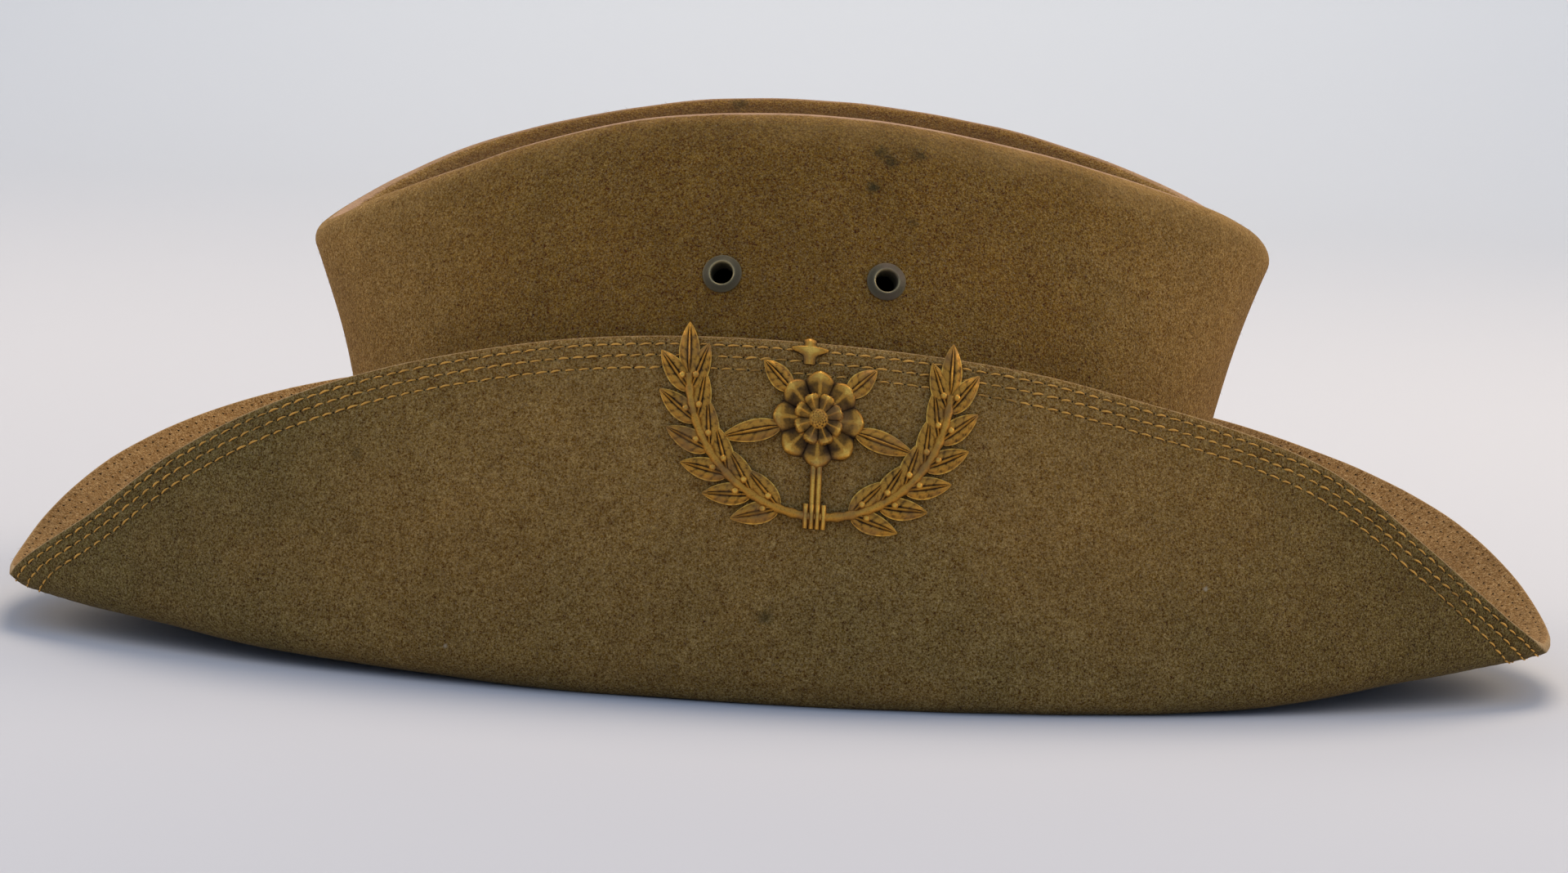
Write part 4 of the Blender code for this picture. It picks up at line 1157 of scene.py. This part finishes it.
def nap_tree():
    """Nodes that set short loose fibres on one face and one part of the felt."""
    g = bpy.data.node_groups.new("Felt nap", "GeometryNodeTree")
    socket(g, "Felt", "NodeSocketGeometry")
    g.interface.new_socket(name="Nap", in_out="OUTPUT", socket_type="NodeSocketGeometry")
    socket(g, "Density", "NodeSocketFloat", 90000.0)
    socket(g, "Length", "NodeSocketFloat", 0.9 * MM)
    socket(g, "Radius", "NodeSocketFloat", 0.025 * MM)
    socket(g, "Seed", "NodeSocketInt", 5)
    socket(g, "Wool", "NodeSocketMaterial")
    socket(g, "Face", "NodeSocketFloat", 0.0)
    socket(g, "Nearest", "NodeSocketFloat", 0.0)
    socket(g, "Farthest", "NodeSocketFloat", 1.0)
    source = add_node(g, "NodeGroupInput").outputs

    def number(operation, *values):
        return add_node(g, "ShaderNodeMath", dict(enumerate(values)), operation=operation).outputs[0]

    # On one face and one part of the felt, and none where it is pressed on the table.
    place = add_node(g, "GeometryNodeInputPosition")
    height = add_node(g, "ShaderNodeSeparateXYZ", {0: place.outputs[0]})
    under = add_node(g, "GeometryNodeInputNamedAttribute", {"Name": "under"}, data_type="FLOAT").outputs[0]
    edge = add_node(g, "GeometryNodeInputNamedAttribute", {"Name": "from_edge"}, data_type="FLOAT").outputs[0]
    chosen = number("GREATER_THAN", height.outputs[2], 1.6 * MM)
    for part in (
        number("LESS_THAN", number("ABSOLUTE", number("SUBTRACT", under, source["Face"])), 0.5),
        number("GREATER_THAN", edge, source["Nearest"]),
        number("LESS_THAN", edge, source["Farthest"]),
    ):
        chosen = number("MULTIPLY", chosen, part)
    spread = add_node(g, "GeometryNodeDistributePointsOnFaces", {
        "Mesh": source["Felt"], "Selection": chosen, "Density": source["Density"], "Seed": source["Seed"],
    })
    half = add_node(g, "ShaderNodeMath", {0: source["Length"], 1: 0.5}, operation="MULTIPLY")
    rise = add_node(g, "ShaderNodeMath", {0: source["Length"], 1: 0.38}, operation="MULTIPLY")
    middle = add_node(g, "ShaderNodeCombineXYZ", {0: half.outputs[0], 2: rise.outputs[0]})
    end = add_node(g, "ShaderNodeCombineXYZ", {0: source["Length"], 2: rise.outputs[0]})
    hair = add_node(g, "GeometryNodeCurveQuadraticBezier", {
        "Resolution": 2, "Start": (0.0, 0.0, 0.0), "Middle": middle.outputs[0], "End": end.outputs[0],
    })
    share = add_node(g, "GeometryNodeSplineParameter")
    thin = add_node(g, "ShaderNodeMath", {0: share.outputs["Factor"], 1: -0.8, 2: 1.0}, operation="MULTIPLY_ADD")
    ring = add_node(g, "GeometryNodeCurvePrimitiveCircle", {"Resolution": 3, "Radius": source["Radius"]})
    fibre = add_node(g, "GeometryNodeCurveToMesh", {
        "Curve": hair.outputs[0], "Profile Curve": ring.outputs[0], "Scale": thin.outputs[0],
    })
    spin = add_node(g, "FunctionNodeRandomValue", {
        "Min": (-0.5, -0.5, 0.0), "Max": (0.5, 0.3, 2 * pi), "Seed": source["Seed"],
    }, data_type="FLOAT_VECTOR")
    local = add_node(g, "FunctionNodeEulerToRotation", {0: spin.outputs[0]})
    turn = add_node(g, "FunctionNodeRotateRotation", {
        "Rotation": spread.outputs["Rotation"], "Rotate By": local.outputs[0],
    }, rotation_space="LOCAL")
    size = add_node(g, "FunctionNodeRandomValue", {
        "Min": (0.4, 0.4, 0.3), "Max": (1.5, 1.2, 1.3), "Seed": source["Seed"],
    }, data_type="FLOAT_VECTOR")
    placed = add_node(g, "GeometryNodeInstanceOnPoints", {
        "Points": spread.outputs["Points"], "Instance": fibre.outputs[0], "Rotation": turn.outputs[0],
        "Scale": size.outputs[0],
    })
    real = add_node(g, "GeometryNodeRealizeInstances", {0: placed.outputs[0]})
    dyed = add_node(g, "GeometryNodeSetMaterial", {"Geometry": real.outputs[0], "Material": source["Wool"]})
    add_node(g, "NodeGroupOutput", {0: dyed.outputs[0]})
    return g


class HAT_OT_nap(bpy.types.Operator):
    """Raises short loose fibres all over the felt"""

    bl_idname = "hat.nap"
    bl_label = "Felt Nap"

    def execute(self, context):
        settings = context.scene.slouch_hat.felt
        felt = bpy.data.objects["felt_shell"]
        group = nap_tree()
        wool = plain_material(
            "loose_wool", 800, settings.brown, LOOSE_HAIR, roughness=0.9, specular=0.1, low=0.4, high=0.6,
        )
        for name, face, nearest, farthest in NAP_PIECES:
            ground = bpy.data.objects.new("ground", felt.data.copy())
            context.scene.collection.objects.link(ground)
            grow = ground.modifiers.new("nap", "NODES")
            grow.node_group = group
            for key, value in (
                ("Density", settings.nap), ("Wool", wool), ("Face", face),
                ("Nearest", nearest), ("Farthest", farthest),
            ):
                set_input(grow, key, value)
            nap = made_plain(ground, name, wool)
            if not nap.data.polygons:
                raise RuntimeError(f"no fibres were made for {name}")
            on_hat(nap, "felt")
        return {"FINISHED"}


# The eyelets

# A closed section: radius and height above the middle of the felt, in millimetres, and how bright it is rubbed, the
# roll's crest brightest as a painted highlight.
EYELET_SECTION = (
    (2.35, -2.2, 0.1), (2.35, -0.6, 0.0), (2.35, 1.2, 0.0), (2.38, 1.75, 0.3), (2.46, 2.2, 0.75), (2.6, 2.5, 1.0),
    (2.78, 2.62, 0.9), (2.98, 2.58, 0.45), (3.2, 2.44, 0.15), (3.5, 2.24, 0.1), (3.8, 2.08, 0.15), (4.1, 1.9, 0.3),
    (4.28, 1.74, 0.35), (4.34, 1.64, 0.05), (4.25, 1.57, 0.0), (4.0, 1.55, 0.0), (2.9, 1.55, 0.0),
    (2.9, -1.75, 0.0), (3.9, -1.75, 0.0), (3.98, -2.0, 0.2), (3.85, -2.32, 0.5), (3.5, -2.55, 0.8),
    (3.1, -2.6, 0.9), (2.62, -2.45, 0.6),
)
EYELET_SIDES = 56


def eyelet_ring(place):
    """A rolled ring turned about place's Z, very slightly out of round."""
    shape = bmesh.new()
    layer = shape.verts.layers.float.new("raised")
    rings = []
    for i in range(EYELET_SIDES):
        turn = 2 * pi * i / EYELET_SIDES
        worn = 1 + 0.008 * sin(2 * turn + 0.7) + 0.004 * sin(5 * turn)
        ring = []
        for radius, height, raised in EYELET_SECTION:
            flat = radius * MM * (worn if radius > 2.95 else 1)
            vert = shape.verts.new(place @ Vector((flat * cos(turn), flat * sin(turn), height * MM)))
            vert[layer] = raised
            ring.append(vert)
        rings.append(ring)
    join_rings(shape, rings + rings[:1])
    bmesh.ops.recalc_face_normals(shape, faces=shape.faces)
    return shape


class HAT_OT_eyelets(bpy.types.Operator):
    """Makes the four vent eyelets, two in each side of the crown"""

    bl_idname = "hat.eyelets"
    bl_label = "Vent Eyelets"

    def execute(self, context):
        patina = context.scene.slouch_hat.metal.patina
        # The brightest tone is rubbed metal and a painted highlight along the roll.
        rubbed, middle = scaled(patina, 4.5), scaled(patina, 1.8)
        look = metal_material("eyelet_patina", rubbed, middle, patina, 0.40, 1.1, metallic=0.55)
        for side_name, side in (("near", -1), ("far", 1)):
            for place_name, x in EYELET_PLACES.items():
                node = f"eyelet_{side_name}_{place_name}"
                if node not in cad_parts:
                    raise RuntimeError(f"the frame has no {node}")
                place = wall_frame(x, EYELET_HEIGHT, side)
                ring = show(eyelet_ring(place), f"ring_{side_name}_{place_name}", look)
                on_hat(ring, "eyelet_metal", node)
        return {"FINISHED"}


# The badge, laid out flat: u to the back of the hat, v up the flap, w away from the felt.

# Each piece's raised values set how bright its brass is: high for rubbed points and painted highlights, low for
# tarnish and painted shade.
LEAF_ALONG = 22
LEAF_VEINS = 5
# Across half a leaf, from its rib to its edge: share of the rib's height, and brightness.
LEAF_SECTION = ((1.25, 1.1), (0.66, 0.25), (0.94, 0.6), (0.86, 0.65), (0.66, 0.55), (0.42, 0.5), (0.28, 1.15))


def leaf_half_width(share):
    """A laurel leaf's outline: full before its middle, drawn out to a point."""
    return max(0.0, sin(pi * share**0.8)) ** 0.75


def close_relief(shape, layer, rows):
    """Faces over a grid of vertices, with its edge closed down to w = 0."""
    join_rings(shape, rows, closed=False)
    rim = rows[0] + [row[-1] for row in rows[1:]] + rows[-1][-2::-1] + [row[0] for row in rows[-2:0:-1]]
    skirts = []
    for share, raised in ((0.6, 0.2), (0.0, 0.0)):
        ring = []
        for vert in rim:
            low = shape.verts.new((vert.co.x, vert.co.y, vert.co.z * share))
            low[layer] = raised
            ring.append(low)
        skirts.append(ring)
    join_rings(shape, [rim] + skirts)
    shape.faces.new(skirts[-1])


def cast_leaf(shape, layer, base, direction, length, half_width):
    """A pointed leaf with a raised rib and sunk side veins."""
    across = Vector((-direction.y, direction.x))
    last = len(LEAF_SECTION) - 1
    rows = []
    for i in range(LEAF_ALONG + 1):
        along = i / LEAF_ALONG
        spread = max(leaf_half_width(along), 0.03) * half_width
        ends = min(1, 4 * (1 - along), 4 * along + 0.3)
        row = []
        for j in range(-last, last + 1):
            share, raised = LEAF_SECTION[abs(j)]
            vein = 0 if j == 0 else max(0, cos((along * LEAF_VEINS - abs(j) / last * 0.8) * 2 * pi)) ** 2 * ends
            height = LEAF_EDGE + (LEAF_RIB - LEAF_EDGE) * share * ends - 0.10 * MM * vein
            flat = base + direction * (length * along) + across * (spread * j / last)
            vert = shape.verts.new((flat.x, flat.y, height))
            vert[layer] = raised * (1 - 0.35 * vein)
            row.append(vert)
        rows.append(row)
    close_relief(shape, layer, rows)


def spray_point(angle, side):
    turn = radians(angle)
    return Vector((side * SPRAY_HALF_WIDTH * cos(turn), SPRAY_CENTRE_V + SPRAY_DEPTH * sin(turn)))


def spray_direction(angle, side, spread):
    """The way a leaf points: along the stem, turned by spread to its outer side."""
    turn = radians(angle)
    along = Vector((-side * SPRAY_HALF_WIDTH * sin(turn), SPRAY_DEPTH * cos(turn))).normalized()
    swing = radians(spread) * -side
    return Vector((along.x * cos(swing) - along.y * sin(swing), along.x * sin(swing) + along.y * cos(swing)))


def cast_bar(shape, layer, centres, acrosses, radius, bands=0):
    """A round bar along centres lying on w = 0, with low bands round it where asked."""
    rings = []
    for i, (centre, across) in enumerate(zip(centres, acrosses)):
        size = radius * (1 + 0.12 * cos(i * pi)) if bands else radius
        ring = []
        for j in range(12):
            turn = 2 * pi * j / 12
            flat = centre + across * (size * cos(turn))
            vert = shape.verts.new((flat.x, flat.y, radius + size * sin(turn)))
            vert[layer] = 0.35 + 0.4 * sin(turn)
            ring.append(vert)
        rings.append(ring)
    join_rings(shape, rings)
    shape.faces.new(rings[0])
    shape.faces.new(rings[-1])


BERRY_RADIUS = 0.85 * MM
BERRY_OUT = 1.5 * MM
BERRY_STEP = 6.5


def cast_berry(shape, layer, place):
    """A small round berry against the stem."""
    at = Matrix.Translation((place.x, place.y, 1.35 * MM))
    made = bmesh.ops.create_uvsphere(shape, u_segments=12, v_segments=8, radius=BERRY_RADIUS, matrix=at)
    for vert in made["verts"]:
        vert[layer] = max(0, min(1, vert.co.z / MM - 1.2))


def cast_spray(shape, layer, side):
    """One laurel spray: its stem, its leaves in pairs, a berry at each pair and the leaf at its end."""
    angles = [mix(SPRAY_START - SPRAY_STEM_TAIL, SPRAY_END, i / 28) for i in range(29)]
    centres = [spray_point(angle, side) for angle in angles]
    acrosses = [spray_direction(angle, side, 90) for angle in angles]
    cast_bar(shape, layer, centres, acrosses, SPRAY_STEM_RADIUS, bands=1)
    for i in range(SPRAY_PAIRS):
        angle = mix(SPRAY_START + FIRST_PAIR, SPRAY_END - LAST_PAIR, i / (SPRAY_PAIRS - 1))
        for spread in (LEAF_SPREAD, -LEAF_SPREAD):
            direction = spray_direction(angle, side, spread)
            cast_leaf(shape, layer, spray_point(angle, side), direction, LEAF_LENGTH, LEAF_HALF_WIDTH)
            outward = spray_direction(angle + BERRY_STEP, side, 90 if spread > 0 else -90)
            cast_berry(shape, layer, spray_point(angle + BERRY_STEP, side) + outward * BERRY_OUT)
    direction = spray_direction(SPRAY_END, side, 0)
    cast_leaf(shape, layer, spray_point(SPRAY_END, side), direction, LEAF_LENGTH, LEAF_HALF_WIDTH)


ROSETTE_SIDES = 160
ROSETTE_RINGS = 34
ROSETTE_INNER = 0.44
ROSETTE_BOSS = 0.2


def petal_height(share, wave, low, high):
    """Height and brightness on a ring of cupped petals, 0 at its middle and 1 at its edge."""
    rolled = 1 - 3.2 * (share - 0.84) ** 2 if share > 0.5 else 0.63 + 0.06 * sin(share * 4)
    edge_drop = max(0, share - 0.95) * 9
    vein = max(0, 1 - (1 - wave) * 45)
    height = low + (high - low) * (rolled - edge_drop) * (0.45 + 0.55 * wave**0.45) + 0.16 * vein
    bright = 0.25 + 0.6 * max(0, 1 - abs(share - 0.9) * 7) * wave + 0.35 * vein + 0.15 * wave
    return height, min(1, bright)


def rosette_height(share, turn):
    """Height in millimetres and brightness at a share of the rosette's radius."""
    outer = abs(cos(turn * ROSETTE_PETALS / 2))
    inner = abs(sin(turn * ROSETTE_PETALS / 2))
    layers = [petal_height(share, outer, 0.55, 1.75)]
    reach = ROSETTE_INNER + 0.14 * inner**0.6
    if share < reach:
        layers.append(petal_height(share / reach, inner, 1.2, 2.35))
    if share < ROSETTE_BOSS:
        seeds = cos(share * 75) * cos(turn * 9)
        dome = sqrt(1 - (share / ROSETTE_BOSS) ** 2)
        layers.append((1.9 + 0.9 * dome + 0.08 * seeds, 0.6 + 0.4 * seeds))
    return max(layers)


def cast_rosette(shape, layer):
    """A round flower: a ring of cupped petals, a smaller ring between them, and a seeded middle."""
    rings = []
    for i in range(ROSETTE_RINGS + 1):
        share = 1 - 0.985 * i / ROSETTE_RINGS
        ring = []
        for j in range(ROSETTE_SIDES):
            turn = 2 * pi * j / ROSETTE_SIDES
            notch = ROSETTE_NOTCH * share**2 * (1 - abs(cos(turn * ROSETTE_PETALS / 2))) ** 0.8
            radius = ROSETTE_RADIUS * share - notch
            height, raised = rosette_height(share, turn)
            vert = shape.verts.new((radius * cos(turn), ROSETTE_V + radius * sin(turn), height * MM))
            vert[layer] = raised
            ring.append(vert)
        rings.append(ring)
    foot = []
    for vert in rings[0]:
        low = shape.verts.new((vert.co.x, vert.co.y, 0))
        foot.append(low)
    rings.insert(0, foot)
    join_rings(shape, rings)
    shape.faces.new(rings[0])
    shape.faces.new(rings[-1])


def cast_cords(shape, layer, v, half_u, half_v, thickness, cords):
    """A low bar made of round cords side by side, lying on w = 0."""
    columns, across = 8 * cords, 8
    rows = []
    for i in range(across + 1):
        y = 2 * i / across - 1
        row = []
        for j in range(columns + 1):
            x = 2 * j / columns - 1
            cord = abs(sin(pi * cords * (x + 1) / 2)) ** 0.7
            height = thickness * (0.66 + 0.34 * cord) * (1 - 0.3 * y**4)
            vert = shape.verts.new((half_u * x, v + half_v * y, height))
            vert[layer] = 0.35 + 0.65 * cord**2
            row.append(vert)
        rows.append(row)
    close_relief(shape, layer, rows)


def rivet_post(shape, layer, v):
    """A post behind the badge and its domed head behind the felt."""
    felt_back = -2 * SEAT_GAP - FELT_THICKNESS
    rings = []
    for radius, height in (
        (POST_RADIUS, 0.4 * MM), (POST_RADIUS, felt_back), (POST_HEAD_RADIUS, felt_back),
        (POST_HEAD_RADIUS, felt_back - 0.35 * POST_HEAD), (0.8 * POST_HEAD_RADIUS, felt_back - 0.8 * POST_HEAD),
        (0.4 * POST_HEAD_RADIUS, felt_back - POST_HEAD),
    ):
        ring = []
        for i in range(20):
            turn = 2 * pi * i / 20
            vert = shape.verts.new((radius * cos(turn), v + radius * sin(turn), height))
            vert[layer] = 0.6
            ring.append(vert)
        rings.append(ring)
    join_rings(shape, rings)
    shape.faces.new(rings[0])
    shape.faces.new(rings[-1])


def badge_shape():
    """A rosette between two laurel sprays, bent to the flap and riveted through it."""
    shape = bmesh.new()
    layer = shape.verts.layers.float.new("raised")
    cast_rosette(shape, layer)
    cast_cords(shape, layer, KNOT_V, KNOT_HALF, KNOT_HALF, KNOT_THICKNESS, 4)
    stalk_v = (ROSETTE_V - ROSETTE_RADIUS + KNOT_V) / 2 + 1.0 * MM
    stalk_half = (ROSETTE_V - ROSETTE_RADIUS - KNOT_V) / 2 + 0.5 * MM
    cast_cords(shape, layer, stalk_v, STALK_HALF, stalk_half, STALK_THICKNESS, 2)
    for side in (-1, 1):
        cast_spray(shape, layer, side)
        for angle, length in ROSETTE_LEAVES:
            turn = radians(angle)
            direction = Vector((side * cos(turn), sin(turn)))
            base = Vector((0, ROSETTE_V)) + direction * (ROSETTE_RADIUS - ROSETTE_LEAF_ROOT)
            cast_leaf(shape, layer, base, direction, length, LEAF_HALF_WIDTH)
    for v in (ROSETTE_V, KNOT_V):
        rivet_post(shape, layer, v)
    bmesh.ops.recalc_face_normals(shape, faces=shape.faces)
    stand_off = FELT_THICKNESS / 2 + SEAT_GAP
    for vert in shape.verts:
        u, v, w = vert.co
        vert.co = flap_frame(BADGE_X + u, BADGE_HEIGHT + v) @ Vector((0, 0, w + stand_off))
    return shape


class HAT_OT_badge(bpy.types.Operator):
    """Casts the badge: a rosette between two laurel sprays"""

    bl_idname = "hat.badge"
    bl_label = "Brim Badge"

    def execute(self, context):
        metal = context.scene.slouch_hat.metal
        look = metal_material("badge_brass", metal.brass, metal.aged, metal.recess, 0.42, 1.3)
        badge = show(badge_shape(), "cast_badge", look, sharp=50)
        on_hat(badge, "badge_brass", "brim_badge")
        return {"FINISHED"}


# The clip: how far below the flap's edge each section of its front and back lies, and its half width.
CLIP_FRONT = (
    (4.5, 1.2), (4.3, 1.4), (3.3, 1.4), (2.9, 1.5), (2.5, 2.0), (2.1, 2.9), (1.75, 3.7), (1.45, 4.1), (1.15, 4.15),
    (0.95, 3.9), (0.8, 3.0), (0.7, 1.6), (0.2, 1.4),
)
CLIP_BACK = ((0.2, 1.5), (2.5, 1.7), (5.0, 2.0), (6.7, 2.2), (7.0, 2.0))
CLIP_BENDS = 8
# Across the strip, from its inner face round its outer one: place across, and share of the thickness.
CLIP_SECTION = (
    (-1, 0), (-0.5, 0), (0.5, 0), (1, 0), (1.03, 0.4), (0.9, 0.8), (0.55, 1.0), (0.25, 1.25), (0, 1.34),
    (-0.25, 1.25), (-0.55, 1.0), (-0.9, 0.8), (-1.03, 0.4),
)


def clip_path():
    """The strip's middle line: distance from the felt's middle, height over the flap's edge, outward, half width."""
    face = FELT_THICKNESS / 2 + SEAT_GAP
    path = [(face, -drop * MM, 1.0, 0.0, half * MM) for drop, half in CLIP_FRONT]
    for i in range(CLIP_BENDS + 1):
        turn = pi * i / CLIP_BENDS
        over, up = cos(turn), sin(turn)
        flat = abs(over) ** 0.6 * (1 if over > 0 else -1)
        path.append((face * flat, SEAT_GAP * up**0.6, over, up, 1.5 * MM))
    return path + [(-face, -drop * MM, -1.0, 0.0, half * MM) for drop, half in CLIP_BACK]


def clip_shape():
    """A brass strip bent over the flap's edge, with two ears in front and a short hook behind."""
    rib = brim_rib(CLIP_RIB)
    top = brim_point(rib, rib.width).z - crease_lift(CLIP_X)
    shape = bmesh.new()
    layer = shape.verts.layers.float.new("raised")
    rings = []
    for distance, over, away, up, half_width in clip_path():
        ring = []
        for across, out in CLIP_SECTION:
            reach = distance + away * out * CLIP_THICKNESS
            height = over + up * out * CLIP_THICKNESS
            place = flap_frame(CLIP_X + across * half_width, top + min(height, 0))
            vert = shape.verts.new(place @ Vector((0, max(0, height), reach)))
            # Brighter on the strip's outer crown, for rubbed brass and a painted highlight, and on its wide ears.
            vert[layer] = 0.05 + 0.42 * out**2 + 0.14 * max(0, half_width / MM - 2.2)
            ring.append(vert)
        rings.append(ring)
    join_rings(shape, rings)
    shape.faces.new(rings[0])
    shape.faces.new(rings[-1])
    bmesh.ops.recalc_face_normals(shape, faces=shape.faces)
    return shape


class HAT_OT_clip(bpy.types.Operator):
    """Bends the clip over the flap's edge"""

    bl_idname = "hat.clip"
    bl_label = "Brim Clip"

    def execute(self, context):
        metal = context.scene.slouch_hat.metal
        look = metal_material("clip_brass", metal.brass, metal.aged, metal.recess, 0.40, 1.2)
        clip = show(clip_shape(), "bent_clip", look)
        on_hat(clip, "clip_brass", "brim_clip")
        return {"FINISHED"}


# The stage

CAMERA_PLACE = Vector((7.98, -1089.55, 170.99)) * MM
CAMERA_PITCH = 0.1144875
CAMERA_YAW = -0.0085876
CAMERA_ROLL = 0.0494661


def camera_matrix():
    """The photograph's view: looking along +Y, a little down and tilted clockwise."""
    forward = Vector((
        sin(CAMERA_YAW) * cos(CAMERA_PITCH), cos(CAMERA_YAW) * cos(CAMERA_PITCH), -sin(CAMERA_PITCH),
    ))
    right = Vector((cos(CAMERA_YAW), -sin(CAMERA_YAW), 0))
    up = right.cross(forward)
    across = right * cos(CAMERA_ROLL) + up * sin(CAMERA_ROLL)
    above = -right * sin(CAMERA_ROLL) + up * cos(CAMERA_ROLL)
    turn = Matrix((across, above, -forward)).transposed().to_4x4()
    return Matrix.Translation(CAMERA_PLACE) @ turn


Lamp = namedtuple("Lamp", "name place aim size power colour")
LAMPS = (
    Lamp("top_softbox", (0.1, 0.62, 1.65), (0, 0, 0.05), 1.0, 18.5, (1.0, 0.855, 0.66)),
    Lamp("right_softbox", (1.6, 0.3, 0.85), (0, 0, 0.06), 1.0, 15.0, (1.0, 0.845, 0.64)),
    Lamp("left_softbox", (-1.7, 0.3, 0.8), (0, 0, 0.06), 1.0, 11.0, (1.0, 0.855, 0.66)),
    Lamp("backdrop_lamp", (0.0, 2.2, 1.7), (0, 2.9, 0.9), 1.6, 19.0, (1.0, 0.99, 0.86)),
)


def floor_shape():
    """A floor that sweeps up behind the hat into a backdrop."""
    shape = bmesh.new()
    section = [(-4.0, 0.0), (-1.0, 0.0), (1.6, 0.0)]
    for i in range(1, 17):
        turn = pi / 2 * i / 16
        section.append((1.6 + 1.2 * sin(turn), 1.2 * (1 - cos(turn))))
    section.append((2.8, 4.0))
    rows = [[shape.verts.new((x, y, z)) for y, z in section] for x in (-5.0, 5.0)]
    join_rings(shape, rows, closed=False)
    bmesh.ops.recalc_face_normals(shape, faces=shape.faces)
    if sum(face.normal.z for face in shape.faces) < 0:
        bmesh.ops.reverse_faces(shape, faces=shape.faces)
    return shape


class HAT_OT_stage(bpy.types.Operator):
    """Sets up the floor, the soft lamps and the camera"""

    bl_idname = "hat.stage"
    bl_label = "Stage"

    def execute(self, context):
        settings = context.scene.slouch_hat.stage
        scene = context.scene
        paint = plain_material("floor_paint", 2, scaled(settings.floor, 0.985), settings.floor, 0.9, 0.1)
        floor = show(floor_shape(), "floor", paint)
        for lamp in LAMPS:
            data = bpy.data.lights.new(lamp.name, "AREA")
            data.shape = "DISK"
            data.size = lamp.size
            data.energy = lamp.power * settings.light
            data.color = lamp.colour
            obj = bpy.data.objects.new(lamp.name, data)
            scene.collection.objects.link(obj)
            obj.location = lamp.place
            aim = Vector(lamp.aim) - Vector(lamp.place)
            obj.rotation_euler = aim.to_track_quat("-Z", "Y").to_euler()
        world = bpy.data.worlds.new("studio")
        world.use_nodes = True
        backdrop = world.node_tree.nodes["Background"]
        backdrop.inputs["Color"].default_value = (0.745, 0.975, 1.44, 1)
        backdrop.inputs["Strength"].default_value = 0.55 * settings.light
        scene.world = world
        scene.view_settings.view_transform = "Standard"
        data = bpy.data.cameras.new("camera")
        data.lens = settings.focal_length
        data.clip_start = 0.02
        camera = bpy.data.objects.new("camera", data)
        camera.matrix_world = camera_matrix()
        scene.collection.objects.link(camera)
        scene.camera = camera
        return {"FINISHED"}


OPERATORS = (HAT_OT_felt, HAT_OT_nap, HAT_OT_stitches, HAT_OT_eyelets, HAT_OT_badge, HAT_OT_clip, HAT_OT_stage)


class HAT_PT_panel(bpy.types.Panel):
    """Sizes and colours of the hat, and what builds it"""

    bl_idname = "HAT_PT_panel"
    bl_label = "Slouch Hat"
    bl_space_type = "VIEW_3D"
    bl_region_type = "UI"
    bl_category = "Slouch Hat"

    def draw(self, context):
        settings = context.scene.slouch_hat
        for group in (settings.felt, settings.stitches, settings.metal, settings.stage):
            box = self.layout.box()
            for name in group.bl_rna.properties.keys():
                if name not in ("rna_type", "name"):
                    box.prop(group, name)
        for operator in OPERATORS:
            self.layout.operator(operator.bl_idname)


CLASSES = (
    FeltSettings, StitchSettings, MetalSettings, StageSettings, HatSettings, *OPERATORS, HAT_PT_panel,
)


def register():
    for cls in CLASSES:
        bpy.utils.register_class(cls)
    bpy.types.Scene.slouch_hat = PointerProperty(type=HatSettings)


def unregister():
    del bpy.types.Scene.slouch_hat
    for cls in reversed(CLASSES):
        bpy.utils.unregister_class(cls)


def main():
    """Builds the hat and its stage."""
    register()
    bpy.ops.hat.felt()
    bpy.ops.hat.nap()
    bpy.ops.hat.stitches()
    bpy.ops.hat.eyelets()
    bpy.ops.hat.badge()
    bpy.ops.hat.clip()
    bpy.ops.hat.stage()


if __name__ == "__main__":
    main()
